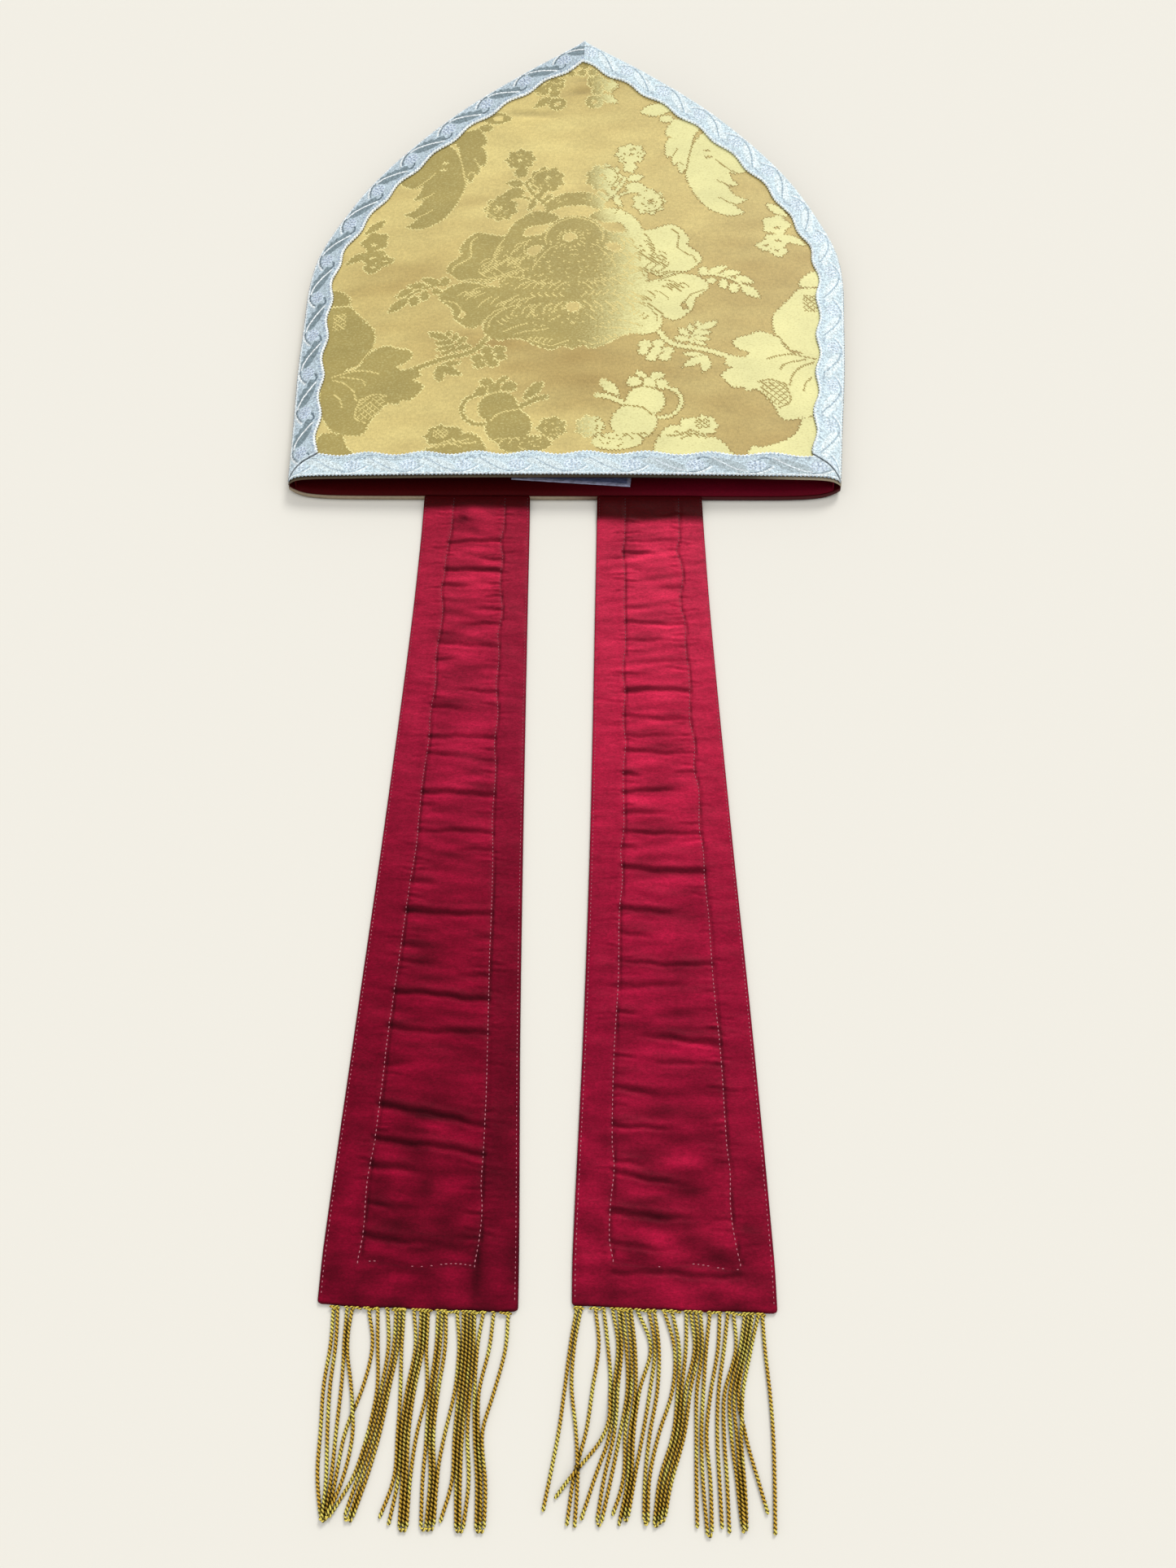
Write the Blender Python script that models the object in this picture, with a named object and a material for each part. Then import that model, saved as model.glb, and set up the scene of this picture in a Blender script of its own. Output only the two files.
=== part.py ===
"""A bishop's mitre, laid on its back with its two lappets spread out below the rim.

Two stiff panels with a pointed top lie face to face. The back panel is flat, and the
front panel arches over the head hollow and lifts clear of the back one towards its
point. A lining pocket fills the hollow, a folded gusset closes the space between the
two points, and galloon bands edge both panels. The lappets lie lining side up, and
each ends in a fringe of loose locks.

+X is to the right, +Y runs from the rim to the point and +Z is up. The origin is on
the table under the middle of the whole object. Lengths are in metres.
"""

import math

import bmesh
import bpy
from mathutils import Matrix, Vector

MM = 0.001

# Driving dimensions
PANEL_HEIGHT = 354 * MM  # rim to point
PANEL_WALL = 1.6 * MM
LINING_WALL = 1.0 * MM
GALLOON_WALL = 1.0 * MM
GALLOON_WIDTH = 15.5 * MM
LAPPET_WALL = 2.0 * MM
LAPPET_LENGTH = 413 * MM  # below the rim
FRINGE_LENGTH = 74 * MM  # from a lappet's end to its longest lock's tip
GAP = 0.3 * MM  # between pieces that touch

# The panels' outline: half the width at each height above the rim
OUTLINE = (
    # height, half width
    (0, 150.0),
    (40, 153.0),
    (80, 156.3),
    (120, 158.3),
    (155, 159.3),
    (180, 156.0),
    (210, 144.5),
    (240, 128.5),
    (270, 105.5),
    (300, 76.0),
    (330, 37.3),
    (354, 0.0),
)

# Both lappets: where their two long edges run at each distance below the rim
LEFT_LAPPET = (
    # below rim, left edge, right edge
    (0, -74.6, -17.0),
    (80, -73.6, -13.8),
    (200, -74.6, -8.6),
    (300, -76.4, -3.9),
    (390, -78.0, 1.2),
    (413, -77.6, 2.2),
)
RIGHT_LAPPET = (
    (0, 19.4, 75.8),
    (80, 20.9, 80.2),
    (200, 22.9, 88.8),
    (300, 23.4, 96.6),
    (390, 22.7, 102.8),
    (410, 23.2, 103.5),
)

# The fringes' locks, from left to right: where each leaves its heading, where it
# passes half way and where it ends, how far its tip is from the lappet's end, and
# its width
LEFT_LOCKS = (
    # root, half way, tip, length, width
    (-70.5, -70.5, -68.9, 73, 4.0),
    (-64.8, -62.6, -64.6, 71, 3.6),
    (-55.6, -55.0, -60.4, 71, 3.6),
    (-48.0, -46.6, -55.6, 72, 4.2),
    (-39.4, -37.8, -39.5, 74, 5.6),
    (-31.4, -30.4, -32.0, 74, 4.2),
    (-24.0, -23.4, -25.2, 74, 4.2),
    (-14.8, -16.2, -17.2, 74, 6.0),
    (-4.2, -8.6, -7.2, 73, 4.4),
)
RIGHT_LOCKS = (
    (25.8, 22.0, 16.6, 70, 2.6),
    (31.0, 29.4, 25.8, 74, 4.0),
    (38.2, 37.2, 31.4, 71, 3.6),
    (44.2, 43.6, 37.0, 72, 3.8),
    (50.8, 50.4, 43.6, 72, 4.2),
    (57.8, 57.2, 49.8, 70, 4.0),
    (67.0, 66.8, 57.0, 71, 6.0),
    (76.0, 73.4, 71.4, 74, 4.0),
    (82.8, 79.4, 77.4, 74, 4.0),
    (88.6, 85.0, 83.4, 74, 3.8),
    (94.4, 90.4, 89.2, 72, 3.8),
    (98.6, 99.8, 100.6, 74, 2.4),
)

# Heights. The back bands lie on the table and carry the back panel.
BACK_BOTTOM = GALLOON_WALL + GAP
BACK_TOP = BACK_BOTTOM + PANEL_WALL
SIDE_CURL = 1.6 * MM  # rise of the back panel at its side folds
CURL_WIDTH = 11 * MM
FRONT_EDGE = BACK_TOP + SIDE_CURL + GAP + PANEL_WALL  # top of the front panel there
HORN_LIFT = 22.5 * MM  # how far the front point rises further
LIFT_START = 116 * MM
RIM_CROWN = 3.3 * MM  # arch across the front panel at the rim
MID_CROWN = 5.6 * MM
MID_CROWN_AT = 80 * MM
POINT_CROWN = 1.2 * MM
SIDE_ROLL = 3.5 * MM  # tight turn of the front panel at its side folds
ROLL_ENDS = (130 * MM, 250 * MM)
BACK_RIM_BOW = 3.3 * MM  # the back rim's middle stands out below the front rim
BOW_DEPTH = 40 * MM

# Insets and depths
RIM_MARGIN = 1.0 * MM  # panel edge that shows beyond the galloon
LINING_INSET = 9 * MM  # from the side folds
LINING_START = 1.5 * MM  # from the rim, upper layer
LINING_LOWER_START = 1.0 * MM  # from the back rim, lower layer
LINING_DEPTH = 138 * MM
GUSSET_INSET = 16 * MM
GUSSET_CREASE = 150 * MM
GUSSET_TOP = 340 * MM
LAPPET_DROP = 30 * MM  # over which a lappet falls from the rim to the table
EDGE_ROUND = 0.6 * MM
HEADING_DEPTH = 3.0 * MM
HEADING_WALL = 2.0 * MM
HEADING_MARGIN = 1.0 * MM  # beyond the outermost locks
LOCK_WALL = 2.6 * MM
LOCK_TIP_WALL = 1.8 * MM
LABEL_SIZE = (65 * MM, 20 * MM, 0.6 * MM)
LABEL_CENTRE = (6.5 * MM, 15 * MM)
LABEL_TURN = math.radians(-5)

# The rim's place along Y, which puts the origin under the middle of the object
RIM_Y = (LAPPET_LENGTH + FRINGE_LENGTH - PANEL_HEIGHT) / 2

# Mesh density
PANEL_COLUMNS = 20
LINING_COLUMNS = 18
PANEL_ROWS = (0, 15, 35, 60, 90, 115, 135, 150, *range(162, 355, 12))
SIDE_BAND_ROWS = 28
BASE_BAND_ROWS = 24
BAND_COLUMNS = (0.0, 0.12, 0.3, 0.6, 1.0)

# name: colour, roughness, metallic
MATERIALS = {
    "damask": ((0.72, 0.56, 0.26, 1), 0.38, 0.15),
    "galloon": ((0.76, 0.80, 0.83, 1), 0.35, 0.40),
    "lining": ((0.28, 0.01, 0.03, 1), 0.55, 0.0),
    "lappet": ((0.42, 0.015, 0.06, 1), 0.50, 0.0),
    "fringe": ((0.55, 0.42, 0.10, 1), 0.30, 0.60),
    "label": ((0.72, 0.74, 0.78, 1), 0.60, 0.0),
}


def clear_scene():
    for item in list(bpy.data.objects):
        bpy.data.objects.remove(item)


def make_material(name):
    colour, roughness, metallic = MATERIALS[name]
    material = bpy.data.materials.get(name) or bpy.data.materials.new(name)
    material.use_nodes = True
    shader = material.node_tree.nodes["Principled BSDF"]
    shader.inputs["Base Color"].default_value = colour
    shader.inputs["Roughness"].default_value = roughness
    shader.inputs["Metallic"].default_value = metallic
    return material


def add_object(name, mesh, material):
    """Closes up a built mesh, turns its faces outwards and puts it in the scene."""
    bmesh.ops.remove_doubles(mesh, verts=mesh.verts, dist=1e-7)
    bmesh.ops.recalc_face_normals(mesh, faces=mesh.faces)
    data = bpy.data.meshes.new(name)
    mesh.to_mesh(data)
    mesh.free()
    data.materials.append(make_material(material))
    item = bpy.data.objects.new(name, data)
    bpy.context.scene.collection.objects.link(item)
    return item


# Curves and surfaces of the panels


def smoothstep(low, high, value):
    t = min(1.0, max(0.0, (value - low) / (high - low)))
    return t * t * (3 - 2 * t)


def read_table(rows, column, at):
    """A smooth curve through one column of a table in mm, whose first column is the place."""
    places = [row[0] * MM for row in rows]
    values = [row[column] * MM for row in rows]
    at = min(places[-1], max(places[0], at))
    i = max(k for k in range(len(rows) - 1) if places[k] <= at)

    def slope(k):
        low, high = max(0, k - 1), min(len(rows) - 1, k + 1)
        return (values[high] - values[low]) / (places[high] - places[low])

    span = places[i + 1] - places[i]
    t = (at - places[i]) / span
    return (
        (2 * t**3 - 3 * t**2 + 1) * values[i]
        + (t**3 - 2 * t**2 + t) * span * slope(i)
        + (3 * t**2 - 2 * t**3) * values[i + 1]
        + (t**3 - t**2) * span * slope(i + 1)
    )


def half_width(y):
    return read_table(OUTLINE, 1, y)


def across(x, y):
    """0 on the panel's middle line and 1 on its edge."""
    width = half_width(y)
    return min(1.0, abs(x) / width) if width > 0 else 1.0


def crown(y):
    if y < MID_CROWN_AT:
        return RIM_CROWN + (MID_CROWN - RIM_CROWN) * smoothstep(0, MID_CROWN_AT, y)
    return MID_CROWN + (POINT_CROWN - MID_CROWN) * smoothstep(MID_CROWN_AT, PANEL_HEIGHT, y)


def front_top(x, y):
    u = across(x, y)
    lift = HORN_LIFT * (max(0.0, y - LIFT_START) / (PANEL_HEIGHT - LIFT_START)) ** 2
    roll = SIDE_ROLL * (1 - smoothstep(*ROLL_ENDS, y))
    return FRONT_EDGE + lift + crown(y) * (1 - u**2) + roll * (1 - u**10)


def back_curl(x, y):
    inward = half_width(y) - abs(x)
    fade = 1 - smoothstep(*ROLL_ENDS, y)
    return SIDE_CURL * fade * max(0.0, 1 - max(0.0, inward) / CURL_WIDTH) ** 2


def back_top(x, y):
    return BACK_TOP + back_curl(x, y)


def back_bow(x, y):
    """How far the back panel reaches out past the front one, near the rim."""
    return BACK_RIM_BOW * (1 - across(x, y) ** 2) * (1 - smoothstep(0, BOW_DEPTH, y))


def place(x, y, z):
    """A point at height y above the rim, in the object's frame."""
    return Vector((x, RIM_Y + y, z))


def column_shares(count):
    """Shares of the half width from edge to edge, closer together at the edges."""
    return [math.sin(math.pi / 2 * (2 * k / count - 1)) for k in range(count + 1)]


# Solids


def closed_sheet(name, upper, lower, material):
    """A closed solid between two grids of points that have the same rows and columns."""
    mesh = bmesh.new()
    top = [[mesh.verts.new(p) for p in row] for row in upper]
    bottom = [[mesh.verts.new(p) for p in row] for row in lower]
    rows, columns = len(upper), len(upper[0])
    for i in range(rows - 1):
        for j in range(columns - 1):
            for grid in (top, bottom):
                mesh.faces.new((grid[i][j], grid[i][j + 1], grid[i + 1][j + 1], grid[i + 1][j]))
    around = [(0, j) for j in range(columns)]
    around += [(i, columns - 1) for i in range(1, rows)]
    around += [(rows - 1, j) for j in reversed(range(columns - 1))]
    around += [(i, 0) for i in reversed(range(1, rows - 1))]
    for (i, j), (k, m) in zip(around, around[1:] + around[:1]):
        mesh.faces.new((top[i][j], top[k][m], bottom[k][m], bottom[i][j]))
    return add_object(name, mesh, material)


def panel_grid(height_at, bow=None):
    """The points of a panel's face, with the outline's rows narrowing to the point."""
    grid = []
    for row in PANEL_ROWS:
        y = row * MM
        points = []
        for share in column_shares(PANEL_COLUMNS):
            x = share * half_width(y)
            shift = bow(x, y) if bow else 0.0
            points.append(place(x, y - shift, height_at(x, y)))
        grid.append(points)
    return grid


def make_panels():
    closed_sheet(
        "front_panel",
        panel_grid(front_top),
        panel_grid(lambda x, y: front_top(x, y) - PANEL_WALL),
        "damask",
    )
    closed_sheet(
        "back_panel",
        panel_grid(back_top, back_bow),
        panel_grid(lambda x, y: back_top(x, y) - PANEL_WALL, back_bow),
        "damask",
    )


def lining_ring(y, wall):
    """One loop of the lining pocket at height y, moved inwards by wall."""
    half = half_width(y) - LINING_INSET - wall
    shares = column_shares(LINING_COLUMNS)
    ring = []
    for share in shares:
        x = share * half
        ring.append(place(x, y, front_top(x, y) - PANEL_WALL - GAP - wall))
    for share in reversed(shares):
        x = share * half
        forward = (LINING_START - LINING_LOWER_START) * (1 - smoothstep(0, BOW_DEPTH, y))
        ring.append(place(x, y - back_bow(x, y) - forward, back_top(x, y) + GAP + wall))
    return ring


def make_lining():
    """A flat pocket, open at the rim and closed at its inner end."""
    depths = (LINING_START, 20 * MM, 50 * MM, 80 * MM, 110 * MM, LINING_DEPTH)
    mesh = bmesh.new()
    outer = [[mesh.verts.new(p) for p in lining_ring(y, 0)] for y in depths]
    inner_depths = depths[:-1] + (LINING_DEPTH - LINING_WALL,)
    inner = [[mesh.verts.new(p) for p in lining_ring(y, LINING_WALL)] for y in inner_depths]
    count = len(outer[0])
    for k in range(count):
        after = (k + 1) % count
        mesh.faces.new((outer[0][k], outer[0][after], inner[0][after], inner[0][k]))
        for skin in (outer, inner):
            for near, far in zip(skin, skin[1:]):
                mesh.faces.new((near[k], near[after], far[after], far[k]))
    for skin in (outer, inner):
        last = skin[-1]
        for k in range(count // 2 - 1):
            mesh.faces.new((last[k], last[k + 1], last[count - 2 - k], last[count - 1 - k]))
    add_object("lining", mesh, "lining")


def gusset_row(y, on_front, wall):
    """One row of the gusset, against the front panel or against the back one."""
    half = half_width(y) - GUSSET_INSET - wall
    row = []
    for share in column_shares(LINING_COLUMNS):
        x = share * half
        if on_front:
            z = front_top(x, y) - PANEL_WALL - GAP - wall
        else:
            z = back_top(x, y) + GAP + wall
        row.append((x, y, z))
    return row


def make_gusset():
    """A sheet folded once: up the back of the front point and up the face of the back one."""
    count = 9
    heights = [GUSSET_CREASE + (GUSSET_TOP - GUSSET_CREASE) * k / count for k in range(count + 1)]
    skins = []
    for wall in (0, LINING_WALL):
        rows = [gusset_row(y, True, wall) for y in reversed(heights)]
        rows += [gusset_row(y, False, wall) for y in heights]
        for middle in (count, count + 1):
            rows[middle] = [(x, y + wall, z) for x, y, z in rows[middle]]
        skins.append([[place(*p) for p in row] for row in rows])
    closed_sheet("gusset", skins[0], skins[1], "lining")


# Galloon bands


def resample(points, count):
    """count + 1 points at equal steps along a line of points."""
    lengths = [0.0]
    for a, b in zip(points, points[1:]):
        lengths.append(lengths[-1] + math.dist(a, b))
    result = []
    for k in range(count + 1):
        at = lengths[-1] * k / count
        i = max(j for j in range(len(points) - 1) if lengths[j] <= at)
        t = (at - lengths[i]) / (lengths[i + 1] - lengths[i])
        result.append([a + (b - a) * t for a, b in zip(points[i], points[i + 1])])
    return result


def side_band_edges():
    """Outer and inner edge of the right side band, from the rim's corner to the point."""
    outer, inner = [], []
    steps = 240
    for k in range(steps + 1):
        y = RIM_MARGIN + (PANEL_HEIGHT - RIM_MARGIN) * k / steps
        low, high = max(0.0, y - MM), min(PANEL_HEIGHT, y + MM)
        slope = (half_width(high) - half_width(low)) / (high - low)
        length = math.hypot(1, slope)
        x = half_width(y)
        inner_x = x - GALLOON_WIDTH / length
        inner_y = y + GALLOON_WIDTH * slope / length
        if x >= GAP / 2:
            outer.append((x, y))
        if inner_x >= GAP / 2 and inner_y >= RIM_MARGIN + GALLOON_WIDTH:
            inner.append((inner_x, inner_y))
    return resample(outer, SIDE_BAND_ROWS), resample(inner, SIDE_BAND_ROWS)


def base_band_edges():
    """Outer and inner edge of the band along the rim, with mitred ends."""
    seam = GAP * math.sqrt(2)
    outer_half = half_width(RIM_MARGIN) - seam
    inner_y = RIM_MARGIN + GALLOON_WIDTH
    inner_half = half_width(inner_y) - GALLOON_WIDTH - seam
    shares = column_shares(BASE_BAND_ROWS)
    outer = [(share * outer_half, RIM_MARGIN) for share in shares]
    inner = [(share * inner_half, inner_y) for share in shares]
    return outer, inner


def band_grid(edges, side, height_at, bow=None):
    """Lays the strip between two edges on a surface; side -1 mirrors it to the left."""
    grid = []
    for (x0, y0), (x1, y1) in zip(*edges):
        row = []
        for share in BAND_COLUMNS:
            x = side * (x0 + (x1 - x0) * share)
            y = y0 + (y1 - y0) * share
            shift = bow(x, y) if bow else 0.0
            row.append(place(x, y - shift, height_at(x, y)))
        grid.append(row)
    return grid


def front_band_height(rise):
    return lambda x, y: front_top(x, y) + GAP + rise


def back_band_height(rise):
    return lambda x, y: back_curl(x, y) + rise


def make_bands():
    bands = (("left", side_band_edges(), -1), ("right", side_band_edges(), 1), ("base", base_band_edges(), 1))
    for name, edges, side in bands:
        for face, height, bow in (("front", front_band_height, None), ("back", back_band_height, back_bow)):
            closed_sheet(
                f"{face}_{name}_band",
                band_grid(edges, side, height(GALLOON_WALL), bow),
                band_grid(edges, side, height(0.0), bow),
                "galloon",
            )


# Lappets and fringes


def lappet_top(y):
    """Height of a lappet's upper face, y below the rim being negative."""
    at_rim = BACK_TOP + GAP + LINING_WALL - LAPPET_WALL
    return LAPPET_WALL + at_rim * (1 - smoothstep(0, LAPPET_DROP, -y))


def make_lappet(name, table):
    last = table[-1][0] * MM
    steps = 14
    shares = (0.0, 0.02, 0.25, 0.5, 0.75, 0.98, 1.0)
    upper, lower = [], []
    for k in range(steps + 1):
        below = last * (k / steps) ** 1.4
        left, right = read_table(table, 1, below), read_table(table, 2, below)
        upper_row, lower_row = [], []
        for share in shares:
            x = left + (right - left) * share
            start = back_bow(x, 0.0) + GAP
            y = -max(below, start) if k else -start
            drop = EDGE_ROUND if share in (0.0, 1.0) else 0.0
            upper_row.append(place(x, y, lappet_top(y) - drop))
            lower_row.append(place(x, y, lappet_top(y) - LAPPET_WALL))
        upper.append(upper_row)
        lower.append(lower_row)
    closed_sheet(name, upper, lower, "lappet")


def lock_ring(lock, share, start):
    """Four corners of a lock's section, share of the way from its root to its tip."""
    root, half_way, tip, length, width = (value * MM for value in lock)
    centre = root + (tip - root) * share + 4 * (half_way - (root + tip) / 2) * share * (1 - share)
    half = width / 2 * (1 - 0.25 * share**2)
    y = start - (length - GAP - HEADING_DEPTH) * share
    top = HEADING_WALL if share == 0 else LOCK_WALL + (LOCK_TIP_WALL - LOCK_WALL) * share
    narrow = half * (1.0 if share == 0 else 0.7)
    return [
        place(centre - half, y, 0.0),
        place(centre + half, y, 0.0),
        place(centre + narrow, y, top),
        place(centre - narrow, y, top),
    ]


def make_fringe(name, table, locks):
    """A heading strip under the lappet's end with every lock grown out of its lower side."""
    end = -table[-1][0] * MM - GAP
    front = end - HEADING_DEPTH
    sides = []
    for lock in locks:
        half = lock[4] * MM / 2
        sides += [lock[0] * MM - half, lock[0] * MM + half]
    stations = [sides[0] - HEADING_MARGIN, *sides, sides[-1] + HEADING_MARGIN]
    mesh = bmesh.new()
    corners = [
        [mesh.verts.new(place(x, y, z)) for y, z in ((end, 0), (end, HEADING_WALL), (front, HEADING_WALL), (front, 0))]
        for x in stations
    ]
    for i, (a, b) in enumerate(zip(corners, corners[1:])):
        for j in range(4):
            # every second stretch of the lower side opens into a lock
            if j != 2 or i % 2 == 0:
                after = (j + 1) % 4
                mesh.faces.new((a[j], b[j], b[after], a[after]))
    mesh.faces.new(corners[0])
    mesh.faces.new(corners[-1])
    for i, lock in enumerate(locks):
        a, b = corners[2 * i + 1], corners[2 * i + 2]
        ring = [a[3], b[3], b[2], a[2]]
        for share in (0.15, 0.4, 0.7, 1.0):
            section = [mesh.verts.new(p) for p in lock_ring(lock, share, front)]
            for j in range(4):
                after = (j + 1) % 4
                mesh.faces.new((ring[j], ring[after], section[after], section[j]))
            ring = section
        mesh.faces.new(ring)
    add_object(name, mesh, "fringe")


def make_label():
    """A bare woven label on the lining's lower layer, just inside the rim."""
    width, depth, wall = LABEL_SIZE
    base = BACK_TOP + GAP + LINING_WALL + GAP
    centre = place(*LABEL_CENTRE, base)
    turn = Matrix.Rotation(LABEL_TURN, 3, "Z")

    def face(z):
        return [
            [centre + turn @ Vector((x, y, z)) for x in (-width / 2, width / 2)]
            for y in (-depth / 2, depth / 2)
        ]

    closed_sheet("label", face(wall), face(0.0), "label")


def main():
    clear_scene()
    make_panels()
    make_lining()
    make_gusset()
    make_bands()
    make_lappet("left_lappet", LEFT_LAPPET)
    make_lappet("right_lappet", RIGHT_LAPPET)
    make_fringe("left_fringe", LEFT_LAPPET, LEFT_LOCKS)
    make_fringe("right_fringe", RIGHT_LAPPET, RIGHT_LOCKS)
    make_label()


main()
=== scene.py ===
"""Looks for the bishop's mitre: woven damask and galloon, quilted red lining and twisted
gold fringe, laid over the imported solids. Shapes are worked out in the mitre's own
millimetres: x across, y above the rim and z above the table."""

import math

import bmesh
import bpy
import numpy as np
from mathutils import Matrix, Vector
from mathutils.bvhtree import BVHTree


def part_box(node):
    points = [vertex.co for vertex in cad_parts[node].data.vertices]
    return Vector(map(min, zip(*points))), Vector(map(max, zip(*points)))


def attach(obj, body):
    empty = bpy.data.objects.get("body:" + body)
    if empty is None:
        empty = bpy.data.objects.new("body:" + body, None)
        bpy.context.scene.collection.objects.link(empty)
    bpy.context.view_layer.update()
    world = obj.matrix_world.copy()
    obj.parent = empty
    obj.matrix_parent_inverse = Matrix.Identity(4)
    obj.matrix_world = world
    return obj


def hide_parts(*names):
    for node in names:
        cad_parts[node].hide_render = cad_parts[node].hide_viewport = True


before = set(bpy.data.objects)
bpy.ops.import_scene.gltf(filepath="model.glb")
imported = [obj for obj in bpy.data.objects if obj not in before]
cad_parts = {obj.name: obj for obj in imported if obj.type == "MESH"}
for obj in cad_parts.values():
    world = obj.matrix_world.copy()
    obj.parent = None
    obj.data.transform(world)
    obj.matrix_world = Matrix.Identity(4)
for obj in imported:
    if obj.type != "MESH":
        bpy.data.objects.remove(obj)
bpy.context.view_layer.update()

MM = 0.001
RIM_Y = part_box("front_panel")[0].y / MM  # the rim's place along the frame's Y
RNG = np.random.default_rng(7)

# Sizes of the solids, in mm

GAP = 0.3
GALLOON_WALL = 1.0
GALLOON_WIDTH = 15.5
PANEL_WALL = 1.6
PANEL_HEIGHT = 354
RIM_MARGIN = 1.0
BACK_TOP = GALLOON_WALL + GAP + PANEL_WALL
SIDE_CURL = 1.6
CURL_WIDTH = 11
FRONT_EDGE = BACK_TOP + SIDE_CURL + GAP + PANEL_WALL
HORN_LIFT = 22.5
LIFT_START = 116
RIM_CROWN = 3.3
MID_CROWN = 5.6
MID_CROWN_AT = 80
POINT_CROWN = 1.2
SIDE_ROLL = 3.5
ROLL_ENDS = (130, 250)
MOUTH_CROWN = 2.0  # at the rim the panel rises steeply from its sides and then lies flatter
MOUTH_ROLL = 5.0
MOUTH_SQUARENESS = 40
MOUTH_FADE = 60
BACK_RIM_BOW = 5.4
BACK_RIM_SQUARENESS = 16
BOW_DEPTH = 40
LINING_INSET = 4
LINING_START = 1.5
LINING_DEPTH = 138
LINING_WALL = 1.0
LINING_CLOTH = 0.5  # the lining's own thickness, thinner than the solid that stands for it
GUSSET_INSET = 16
GUSSET_CREASE = 150
GUSSET_TOP = 340
LAPPET_WALL = 2.0
LAPPET_DROP = 30

OUTLINE = (
    # height, half width
    (0, 150.0), (40, 153.0), (80, 156.3), (120, 158.3), (155, 159.3), (180, 156.0), (210, 144.5),
    (240, 128.5), (270, 105.5), (300, 76.0), (330, 37.3), (354, 0.0),
)


# Curves and surfaces

NOISE_WAVES = 10


def smoothstep(low, high, value):
    t = np.clip((np.asarray(value, float) - low) / (high - low), 0, 1)
    return t * t * (3 - 2 * t)


def read_table(rows, column, at):
    """A smooth curve through one column of a table whose first column is the place."""
    table = np.array(rows, float)
    places, values = table[:, 0], table[:, column]
    slopes = np.empty(len(places))
    slopes[1:-1] = (values[2:] - values[:-2]) / (places[2:] - places[:-2])
    slopes[0] = (values[1] - values[0]) / (places[1] - places[0])
    slopes[-1] = (values[-1] - values[-2]) / (places[-1] - places[-2])
    at = np.clip(np.asarray(at, float), places[0], places[-1])
    i = np.clip(np.searchsorted(places, at, side="right") - 1, 0, len(places) - 2)
    span = places[i + 1] - places[i]
    t = (at - places[i]) / span
    return (
        (2 * t**3 - 3 * t**2 + 1) * values[i]
        + (t**3 - 2 * t**2 + t) * span * slopes[i]
        + (3 * t**2 - 2 * t**3) * values[i + 1]
        + (t**3 - t**2) * span * slopes[i + 1]
    )


def half_width(y):
    return read_table(OUTLINE, 1, y)


def soft_noise(x, y, size, rng):
    """Smooth random waves of about that size, mostly between -1 and 1."""
    total = np.zeros(np.broadcast(x, y).shape)
    for _ in range(NOISE_WAVES):
        angle, phase = rng.uniform(0, 2 * np.pi, 2)
        scale = 2 * np.pi / size * rng.uniform(0.6, 1.5)
        total += np.sin(scale * (x * np.cos(angle) + y * np.sin(angle)) + phase)
    return total / np.sqrt(NOISE_WAVES)


def bump(offset, width):
    """A smooth bump of height 1 where the offset is 0."""
    return np.exp(-((offset / width) ** 2))


def across(x, y):
    """0 on the panel's middle line and 1 on its edge."""
    return np.minimum(1.0, np.abs(x) / np.maximum(half_width(y), 1e-6))


def crown(y):
    rising = RIM_CROWN + (MID_CROWN - RIM_CROWN) * smoothstep(0, MID_CROWN_AT, y)
    falling = MID_CROWN + (POINT_CROWN - MID_CROWN) * smoothstep(MID_CROWN_AT, PANEL_HEIGHT, y)
    return np.where(np.asarray(y) < MID_CROWN_AT, rising, falling)


def front_top(x, y):
    u = across(x, y)
    lift = HORN_LIFT * (np.maximum(0.0, y - LIFT_START) / (PANEL_HEIGHT - LIFT_START)) ** 2
    roll = SIDE_ROLL * (1 - smoothstep(*ROLL_ENDS, y))
    rise = crown(y) * (1 - u**2) + roll * (1 - u**10)
    at_mouth = MOUTH_CROWN * (1 - u**2) + MOUTH_ROLL * (1 - u**MOUTH_SQUARENESS)
    return FRONT_EDGE + lift + at_mouth + (rise - at_mouth) * smoothstep(0, MOUTH_FADE, y)


def back_curl(x, y):
    inward = np.maximum(0.0, half_width(y) - np.abs(x))
    fade = 1 - smoothstep(*ROLL_ENDS, y)
    return SIDE_CURL * fade * np.maximum(0.0, 1 - inward / CURL_WIDTH) ** 2


def back_bow(x, y):
    return BACK_RIM_BOW * (1 - across(x, y) ** BACK_RIM_SQUARENESS) * (1 - smoothstep(0, BOW_DEPTH, y))


def column_shares(count):
    """Shares of the half width from edge to edge, closer together at the edges."""
    return np.sin(np.pi / 2 * np.linspace(-1, 1, count + 1))


# Meshes

BLOCK_FOOT = 0.08  # how far the damask's floats reach down into the cloth
DAMASK_RISE = {"figure": 0.10, "thread": 0.16, "edge": 0.06}


def add_mesh(name, points, faces, slot, look=None):
    """Adds a piece from points in the mitre's mm. It rides on the mitre's one body."""
    data = bpy.data.meshes.new(name)
    placed = (np.asarray(points, float) + (0, RIM_Y, 0)) * MM
    data.from_pydata(placed.tolist(), [], [tuple(f) for f in faces])
    data.materials.append(MATERIALS[look or slot])
    data.shade_smooth()
    item = bpy.data.objects.new(name, data)
    bpy.context.scene.collection.objects.link(item)
    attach(item, "root")
    return item


def paint(item, colours):
    """Stores a colour at each point of a piece, for its material to read."""
    layer = item.data.color_attributes.new("tone", "FLOAT_COLOR", "POINT")
    rgba = np.ones((len(item.data.vertices), 4), np.float32)
    rgba[:, :3] = colours
    layer.data.foreach_set("color", rgba.ravel())


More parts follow.
